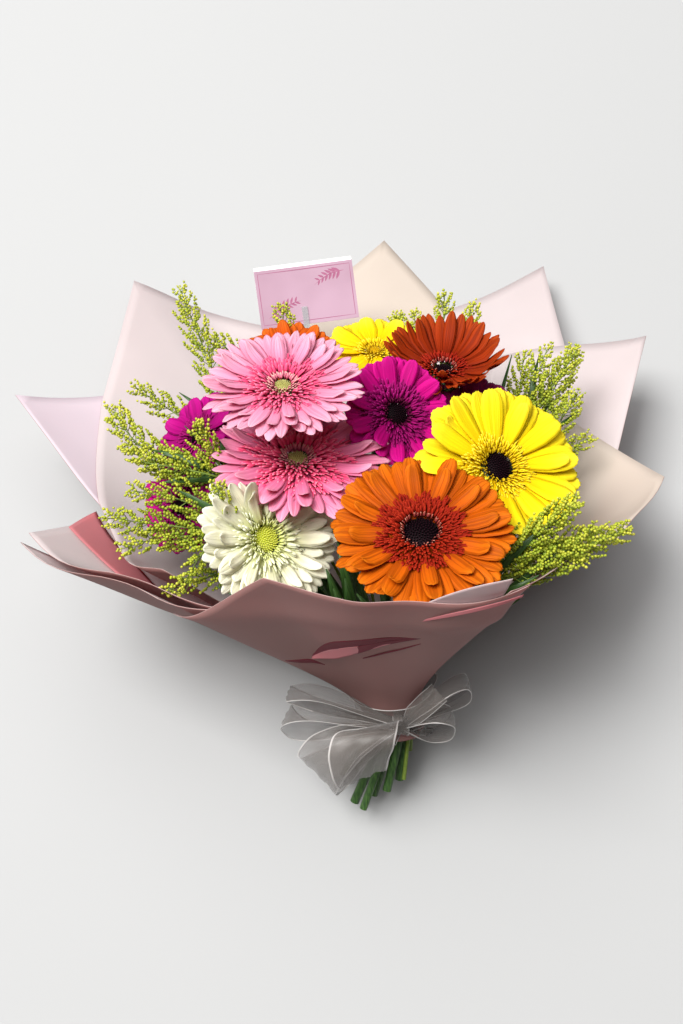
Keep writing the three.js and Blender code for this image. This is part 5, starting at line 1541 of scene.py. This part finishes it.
def plume(cluster, strands, axis, rng):
    line = bezier(*axis, np.linspace(0, 1, 24))
    length = np.linalg.norm(np.diff(line, axis=0), axis=1).sum()
    strands.append((line, np.linspace(0.75, 0.22, 24)))
    count = int(length / TWIG_PITCH)
    for k in range(count):
        share = FIRST_TWIG + 0.82 * (k + rng.random() * 0.6) / count
        start = on_line(line, share)
        ahead = unit(on_line(line, min(1, share + 0.03)) - on_line(line, share - 0.03))
        out = turned(ahead, k * GOLDEN + rng.uniform(-0.3, 0.3))[0]
        out = unit(out + SKYWARD * 0.25)
        reach = 4.0 + length * 0.24 * (1 - share)**0.7 * min(1, share * 5)
        reach = min(reach * rng.uniform(0.75, 1.15), LONGEST_TWIG)
        knee = start + (out * 0.62 + ahead * 0.45) * reach * 0.55
        tip = start + (out * 0.75 + ahead * 0.95 + SKYWARD * 0.12) * reach * 0.75
        twig = rounded((start, knee, tip), 10)
        strands.append((twig, np.linspace(0.3, 0.12, 10)))
        buds_on(cluster, twig, out, reach, share, rng)
    ahead = line[-1] - line[-2]
    for j in range(TIP_BUDS):
        astray = np.array([rng.uniform(-0.8, 0.8) for _ in range(3)])
        place = line[-1] + astray + unit(ahead) * j * 0.5
        cluster.lay(BUD, turned_points(BUD, (1.3, 1.3, 1.8), place, turned(ahead, j)), tint=0.8)


# %% [markdown]
# Leaves arch from the stem to their tips, a little cupped along the middle.

# %% Goldenrod
WIDE_LEAF = 6


def goldenrod(name, route, plumes, leaves):
    rng = random.Random("spray" + name)
    shaft = rounded(route, 50)
    cluster, strands = Cluster(), [(shaft, np.linspace(1.3, 0.7, 50))]
    for axis in plumes:
        plume(cluster, strands, axis, rng)
    for tip, width in leaves:
        foot = shaft[-6] if width < WIDE_LEAF else shaft[rng.randint(16, 27)]
        tip = np.array(tip, float)
        middle = (foot + tip) / 2 + SKYWARD * np.linalg.norm(tip - foot) * 0.12
        side = unit(np.cross(tip - foot, (0.1, -0.3, 1)))
        points = bent(LEAF, rounded((foot, middle, tip), 12), side, width, cup=0.12,
                      roll=rng.uniform(-0.4, 0.4))
        cluster.lay(LEAF, points, slot=1)
    obj = cluster.piece(name + ".buds", bud_finish, leaf_finish, twig_finish)
    twigs = rod(name + " twigs", strands, 1)
    twigs.data.materials.append(twig_finish.material)
    finished(joined(obj, twigs), name, slot="goldenrod")


for name, parts in SPRAYS.items():
    goldenrod(name, *parts)

# %% [markdown]
# Organza is a crisp, sheer weave with a denser woven edge, which catches the light as a bright line;
# that line is a painted highlight, a lighter colour at the edge. A mesh of single threads would be
# far too fine, so the finish is partly see-through, least so at the edge, and its threads are
# relief.

# %% Organza
organza = Finish("organza")
across, along = organza.across_along()
edge = organza.step(abs(across - 0.5), 0.462, 0.488)
cloud = organza.noise(organza.place(), 70, 3)
thread = organza.noise(organza.vector(across * 60, along * 4), 1.0)
# the edge is more opaque, as the denser weave, and painted lighter, as a painted highlight
organza.use(base_color=organza.blend(edge, srgb("7a7470"), srgb("cfcbc9")),
            roughness=thread * 0.2 + 0.3,
            alpha=cloud * 0.16 + thread * 0.1 + edge * 0.55 + 0.14,
            sheen_weight=0.4, sheen_roughness=0.4)
organza.relief(thread, 0.0003, 0.4)

# %% [markdown]
# Each loop of the bow is one strip. Stations give its middle and half its width, and a
# smooth line runs through them. Cloth simulation would need pins all along to keep the
# loops open, and organza is stiff enough to be drawn as it stands. Near the knot the
# strip is gathered in pleats, and where it would cut into the paper it lies on it.

# %% Strips of ribbon
RIBBON_WIDTH = 38
STRIP_COLUMNS = 15
PAPER_ROOM = 1.0


def outside_paper(points):
    """Points that would be inside the paper, moved out onto it."""
    offset = points - TIE
    height = offset @ AXIS
    from_axis = offset - height[..., None] * AXIS
    radius = np.linalg.norm(from_axis, axis=-1)
    degrees = np.degrees(np.arctan2(from_axis @ RIGHT, from_axis @ DOWN))
    need = funnel_radius(degrees, height, 0) + PAPER_ROOM
    inside = (height > PAPER_END - 2) & (radius < need)
    push = np.where(inside, need / np.maximum(radius, 1e-6), 1.0)
    return TIE + height[..., None] * AXIS + from_axis * push[..., None]


def eased_halves(stations, steps):
    """Half widths along the strip, eased from station to station, and how far it is."""
    gaps = [math.dist(a[0], b[0]) for a, b in zip(stations, stations[1:])]
    knots = np.concatenate(((0,), np.cumsum(gaps)))
    far = np.linspace(0, knots[-1], steps)
    half = np.stack([np.interp(far, knots, [s[1][k] for s in stations]) for k in range(3)], -1)
    for _ in range(3):
        half[1:-1] = (half[:-2] + 2 * half[1:-1] + half[2:]) / 4
    return half, far


def strip(cluster, stations, steps, pleats=3, seed=0, thick=0.2, rests=True):
    """A thin closed strip through the stations, gathered where it is narrow."""
    middle = rounded([s[0] for s in stations], steps)
    half, far = eased_halves(stations, steps)
    across = np.linspace(-1, 1, STRIP_COLUMNS)[None]
    wide = np.linalg.norm(half, axis=1)
    gather = (1 - np.clip(wide / wide.max(), 0, 1))[:, None]
    normal = np.cross(np.gradient(middle, axis=0), half)
    normal /= np.linalg.norm(normal, axis=1)[:, None]
    phase = random.Random(seed).uniform(0, 6)
    ripple = (gather * 1.5 + 0.35) * np.sin(across * pleats * math.pi + phase)
    ripple = ripple + 0.7 * np.sin(far[:, None] / 9 + phase) * across**2 * (1 - gather)
    grid = middle[:, None] + across[..., None] * half[:, None]
    grid = grid + ripple[..., None] * normal[:, None]
    if rests:
        grid = outside_paper(grid)
    face = np.cross(np.gradient(grid, axis=0), np.gradient(grid, axis=1))
    face /= np.maximum(np.linalg.norm(face, axis=-1), 1e-9)[..., None]
    chart = np.stack(np.broadcast_arrays((across + 1) / 2, far[:, None] / RIBBON_WIDTH), -1)
    lay_sheet(cluster, grid, grid - face * thick, chart, (0, 0, 0))
    return far[-1]


# %% [markdown]
# The ribbon is 38 mm wide. Its length is that of its strips as they are laid, and where pleats or a
# bevelled end make its area differ from width times length, the area is that of the strips. These
# figures are worked out for each piece, but are not kept.

# %% The bow
BOW = {
    "ribbon_left": (
        (((30.8, -125.6, 69.8), (0.4, -2.4, 2.6)), ((5.0, -116.3, 78.0), (-1.2, -6.1, 10.0)),
         ((-16.9, -111.5, 84.0), (-1.3, -7.5, 13.0)), ((-31.0, -110.2, 78.0), (-1.0, -7.6, 13.0)),
         ((-25.4, -111.8, 68.0), (-1.2, -6.8, 12.0)), ((-5.6, -116.8, 64.0), (-1.1, -6.1, 9.0)),
         ((30.2, -127.0, 67.0), (-0.1, -2.4, 2.6))),
        (((30.6, -127.4, 68.6), (-0.1, -2.3, 2.4)), ((-2.0, -121.7, 72.0), (-1.7, -7.1, 10.0)),
         ((-22.8, -120.2, 75.0), (-2.4, -8.7, 12.0)), ((-33.0, -120.8, 63.0), (-2.8, -9.3, 12.0)),
         ((-25.8, -126.2, 50.0), (-3.1, -8.3, 10.0)), ((-8.0, -127.3, 50.0), (-1.7, -6.8, 8.0)),
         ((30.2, -128.6, 64.6), (-0.1, -2.3, 2.4))),
        (((31.0, -128.6, 66.4), (1.7, -1.9, 1.0)), ((8.0, -134.8, 67.0), (8.1, -8.2, 1.0)),
         ((-6.1, -143.0, 64.0), (11.1, -11.1, 1.0)), ((-13.2, -150.2, 53.0), (11.8, -11.6, 0.0)),
         ((-13.5, -152.4, 40.0), (11.3, -11.1, 0.0)), ((-5.2, -146.4, 30.0), (10.3, -10.1, 0.0)),
         ((8.3, -138.2, 38.0), (6.6, -6.6, 0.0)), ((30.8, -129.6, 61.6), (1.8, -1.8, 0.0))),
    ),
    "ribbon_centre": (
        (((33.0, -127.0, 71.6), (2.6, 0.4, 0.6)), ((21.5, -130.5, 82.0), (11.4, 2.0, 2.0)),
         ((13.6, -136.1, 90.0), (18.0, 0.2, 2.0)), ((10.9, -146.1, 88.0), (18.6, 2.0, 1.0)),
         ((11.1, -153.9, 74.0), (15.9, 6.0, 1.0)), ((12.5, -156.2, 56.0), (13.2, 5.8, 0.0)),
         ((14.9, -149.1, 45.0), (13.1, 3.5, 0.0)), ((20.7, -140.2, 50.0), (9.5, 1.2, 0.0)),
         ((32.6, -130.0, 62.4), (2.6, -0.2, 0.6))),
    ),
    "ribbon_right": (
        (((37.2, -125.2, 69.8), (0.4, -2.3, 2.6)), ((48.4, -117.1, 80.0), (-0.2, -6.1, 9.0)),
         ((60.9, -108.2, 86.0), (-0.7, -7.5, 12.0)), ((71.9, -104.2, 80.0), (-0.3, -7.5, 12.0)),
         ((74.0, -108.7, 68.0), (-0.2, -7.2, 11.0)), ((64.1, -114.4, 61.0), (-0.4, -6.1, 9.0)),
         ((37.6, -126.6, 66.8), (0.4, -2.4, 2.6))),
        (((37.4, -127.2, 68.4), (-0.2, -2.3, 2.4)), ((46.2, -124.1, 77.0), (-0.1, -6.4, 8.0)),
         ((56.4, -122.8, 81.0), (-0.4, -7.7, 9.0)), ((65.2, -123.2, 70.0), (0.0, -7.7, 9.5)),
         ((63.4, -127.7, 56.0), (0.2, -7.5, 9.0)), ((52.7, -129.0, 49.0), (-0.1, -6.1, 8.0)),
         ((37.2, -128.6, 64.2), (-0.1, -2.4, 2.4))),
        (((36.4, -126.6, 71.0), (1.4, -1.6, 0.6)), ((41.1, -124.3, 83.0), (3.6, -5.0, 2.0)),
         ((47.6, -119.3, 91.0), (4.0, -5.4, 2.0)), ((54.7, -113.7, 96.0), (4.0, -5.2, 2.0))),
    ),
}


def declared(obj, length):
    area = sum(p.area for p in obj.data.polygons) / 2
    length = length * MM
    flat = max(RIBBON_WIDTH * MM * length, area / 1.2)
    flat / length
    min(flat, max(area / 1.1, 0.35 * flat))


for node, strips in BOW.items():
    cluster = Cluster()
    length = sum(strip(cluster, stations, 70, seed=node + str(k))
                 for k, stations in enumerate(strips))
    loops = cluster.piece(node.replace("_", "."), organza)
    finished(loops, node, slot="organza")
    declared(loops, length)

# %% [markdown]
# The band goes once round the neck of the paper, and one short strip round the roots of
# the loops makes the knot. Both are strips again, on stations that are worked out.

# %% The band and the knot
BAND_HEIGHT, BAND_HALF = 3.5, 8.5
KNOT = np.array((34.2, -127.0, 67.6))

around = []
turns = np.linspace(-188, 188, 26)
for k, degrees in enumerate(turns):
    degrees = np.array(degrees)
    rise = funnel_radius(degrees, np.array(BAND_HEIGHT), 0) + 0.9 + 1.2 * k / len(turns)
    centre = TIE + AXIS * BAND_HEIGHT + outward(degrees) * rise
    around.append((centre, AXIS * BAND_HALF))
cluster = Cluster()
length = strip(cluster, around, 120, pleats=6, seed="band", thick=0.25)
around = []
turns = np.linspace(-20, 380, 16)
for k, turn in enumerate(np.radians(turns)):
    size = 1 + 0.12 * k / len(turns)
    centre = KNOT + (-DOWN * math.cos(turn) * 3.6 + AXIS * math.sin(turn) * 5.6) * size
    around.append((centre, (3.9 + 0.5 * math.cos(turn), 0.5 * math.sin(2 * turn), 0.3)))
length += strip(cluster, around, 60, pleats=4, seed="knot", thick=0.25, rests=False)
band = cluster.piece("ribbon.band", organza)
finished(band, "ribbon_band", slot="organza")
declared(band, length)

# %% [markdown]
# The gift card is a folded slip of smooth lilac board, white inside, with a print in a
# darker ink.

# %% Card finishes
card_finish = Finish("card.lilac")
wash = card_finish.step(card_finish.noise(card_finish.place(), 22), 0.3, 0.7)
card_finish.use(base_color=card_finish.blend(wash, srgb("a07e90"), srgb("b08fa2")),
                roughness=card_finish.noise(card_finish.place(), 3000) * 0.1 + 0.38)
white_board = grained("card.white", "f4f2f4", "fcfbfc", 3000, 0.1, 0.45)
ink = grained("card.ink", "8c4466", "a05a7c", 900, 0.1, 0.4)

# %% [markdown]
# The card has its own directions, along its lower edge, up its face and out of it. A
# subdivided cube can be bowed and tilted, so it serves for the front, the back, the
# fold and the clip.

# %% The folded board
CARD_LOW_LEFT = np.array((-51.8, 129.4, 71))
CARD_RIGHT = unit((63, 9.4, 0))
slope = np.array((-4, 29, 14.0))
CARD_UP = unit(slope - (slope @ CARD_RIGHT) * CARD_RIGHT)
CARD_FRONT = np.cross(CARD_RIGHT, CARD_UP)
CARD_WIDTH, CARD_HEIGHT = 64.0, 37.0
BOARD_THICK, BOW_OF_BOARD = 0.45, 0.5


def on_card(x, y, z):
    return (CARD_LOW_LEFT + np.multiply.outer(x, CARD_RIGHT) + np.multiply.outer(y, CARD_UP)
            + np.multiply.outer(z, CARD_FRONT))


deselect()
bpy.ops.mesh.primitive_cube_add(size=1)
bpy.ops.object.mode_set(mode="EDIT")
bpy.ops.mesh.select_all(action="SELECT")
bpy.ops.mesh.subdivide(number_cuts=7)
bpy.ops.object.mode_set(mode="OBJECT")
BOARD = Blank(bpy.context.object)


def board(x0, y0, z0, width, height, thick, bow=0.0, tilt=0.0):
    """A flat board on the card, from a corner, bowed across and tilted upwards."""
    x, y, z = BOARD.points.T + 0.5
    rise = z0 + (z - 1) * thick + tilt * y - bow * np.sin(np.pi * x) * y
    return on_card(x0 + x * width, y0 + y * height, rise)


card = Cluster()
card.lay(BOARD, board(0, 0, 0, CARD_WIDTH, CARD_HEIGHT, BOARD_THICK, bow=BOW_OF_BOARD))
card.lay(BOARD, board(0, 0, -0.75, CARD_WIDTH, CARD_HEIGHT + 2.5, BOARD_THICK, tilt=-2.4), slot=1)
card.lay(BOARD, board(0, -0.45, 0, CARD_WIDTH, 0.5, 1.2))
print("card", CARD_WIDTH, "by", CARD_HEIGHT, "mm")

# %% [markdown]
# The print is a plain border and two leafy sprigs. It could be a pattern in the finish,
# but thin leaves of ink laid on the bowed front keep their sharp edges at any distance.

# %% The print
INK = 0.12
MARGIN = 2
SPRIG_ARCH = 2.2


def printed(x, y):
    """A point on the bowed front of the card, just above its paper."""
    x, y = np.asarray(x, float), np.asarray(y, float)
    return on_card(x, y, 0.03 - BOW_OF_BOARD * np.sin(np.pi * x / CARD_WIDTH) * y / CARD_HEIGHT)


def inked(blank, line, side, width):
    card.lay(blank, bent(blank, line, side, width, thick=INK), slot=2)


def sprig(x, y, dx, dy, leaves, size):
    """A curved stalk with leaves in pairs."""
    def spot(share):
        return x + dx * share, y + dy * share + SPRIG_ARCH * np.sin(math.pi * share)

    inked(LEAF, printed(*spot(np.linspace(0, 1, 9))),
          np.cross(CARD_FRONT, CARD_RIGHT * dx + CARD_UP * dy), 0.7)
    for k in range(leaves):
        share = 0.15 + 0.8 * k / leaves
        fx, fy = spot(share)
        for side in (-1, 1):
            turn = math.atan2(dy, dx) + side * 0.8
            reach = size * (1 - 0.5 * share)
            line = printed(np.linspace(fx, fx + math.cos(turn) * reach, 6),
                           np.linspace(fy, fy + math.sin(turn) * reach, 6))
            inked(LEAF, line, np.cross(line[-1] - line[0], CARD_FRONT), reach * 0.34)


sprig(6, 6, 22, 9, 6, 6.5)
sprig(58, 31, -20, -7, 6, 6.0)
right, top = CARD_WIDTH - MARGIN, CARD_HEIGHT - MARGIN
corners = ((MARGIN, MARGIN), (right, MARGIN), (right, top), (MARGIN, top), (MARGIN, MARGIN))
for (x0, y0), (x1, y1) in zip(corners, corners[1:]):
    line = printed(np.linspace(x0, x1, 12), np.linspace(y0, y1, 12))
    inked(TONGUE, line, np.cross(line[-1] - line[0], CARD_FRONT), 0.45)
finished(card.piece("gift.card", card_finish, white_board, ink, smooth=False), "card",
         slot="card_stock")

# %% [markdown]
# The pick is moulded in clear plastic: a long shaft from the tie up behind the blooms,
# and a clip with a bridge that holds the card from below. The clip's edges get a small
# bevel, as moulded edges have.

# %% The clear pick
PICK_ROUTE = ((21.5, -120.2, 13.1), (28.9, -109.6, 31.8), (29.6, -104.3, 39.5), (21.7, -67.2, 54),
              (9, -19.4, 57.2), (-6.4, 36.9, 54.7), (-19.1, 92, 56.5), (-22.6, 130.9, 68.8))
SHAFT_RADIUS, SHAFT_STEPS = 1.25, 60
CLIP_WIDTH, CLIP_HEIGHT, CLIP_WALL = 3.8, 16, 0.8
CLIP_LEFT = CARD_WIDTH * 0.46 - CLIP_WIDTH / 2
CLIP_FOOT, BRIDGE_HEIGHT = -5, 2.5
CLIP_FRONT, CLIP_BACK = 1.2, -2.6

clear = Finish("pick.clear", base_color=srgb("b4b8ba"), ior=1.49, alpha=0.34, coat_weight=0.5)
clear.use(roughness=clear.noise(clear.place(), 300) * 0.12 + 0.04)
clip = Cluster()
for z in (CLIP_FRONT, CLIP_BACK):
    clip.lay(BOARD, board(CLIP_LEFT, CLIP_FOOT, z, CLIP_WIDTH, CLIP_HEIGHT, CLIP_WALL))
clip.lay(BOARD, board(CLIP_LEFT, CLIP_FOOT, CLIP_FRONT, CLIP_WIDTH, BRIDGE_HEIGHT,
                      CLIP_FRONT - CLIP_BACK))
pick = clip.piece("card.pick", clear, smooth=False)
edges = pick.modifiers.new("edges", "BEVEL")
edges.width = 0.0002
edges.limit_method = "ANGLE"
shaft = rod("pick shaft", [(rounded(PICK_ROUTE, SHAFT_STEPS), np.full(SHAFT_STEPS, SHAFT_RADIUS))])
shaft.data.materials.append(clear.material)
bpy.context.view_layer.objects.active = pick
deselect()
pick.select_set(True)
bpy.ops.object.modifier_apply(modifier="edges")
finished(joined(pick, shaft), "card_pick", slot="clear_pick")

# %% [markdown]
# Last, the view layer is brought up to date.

# %% Closing
for name, corner in (("low", 0), ("high", 1)):
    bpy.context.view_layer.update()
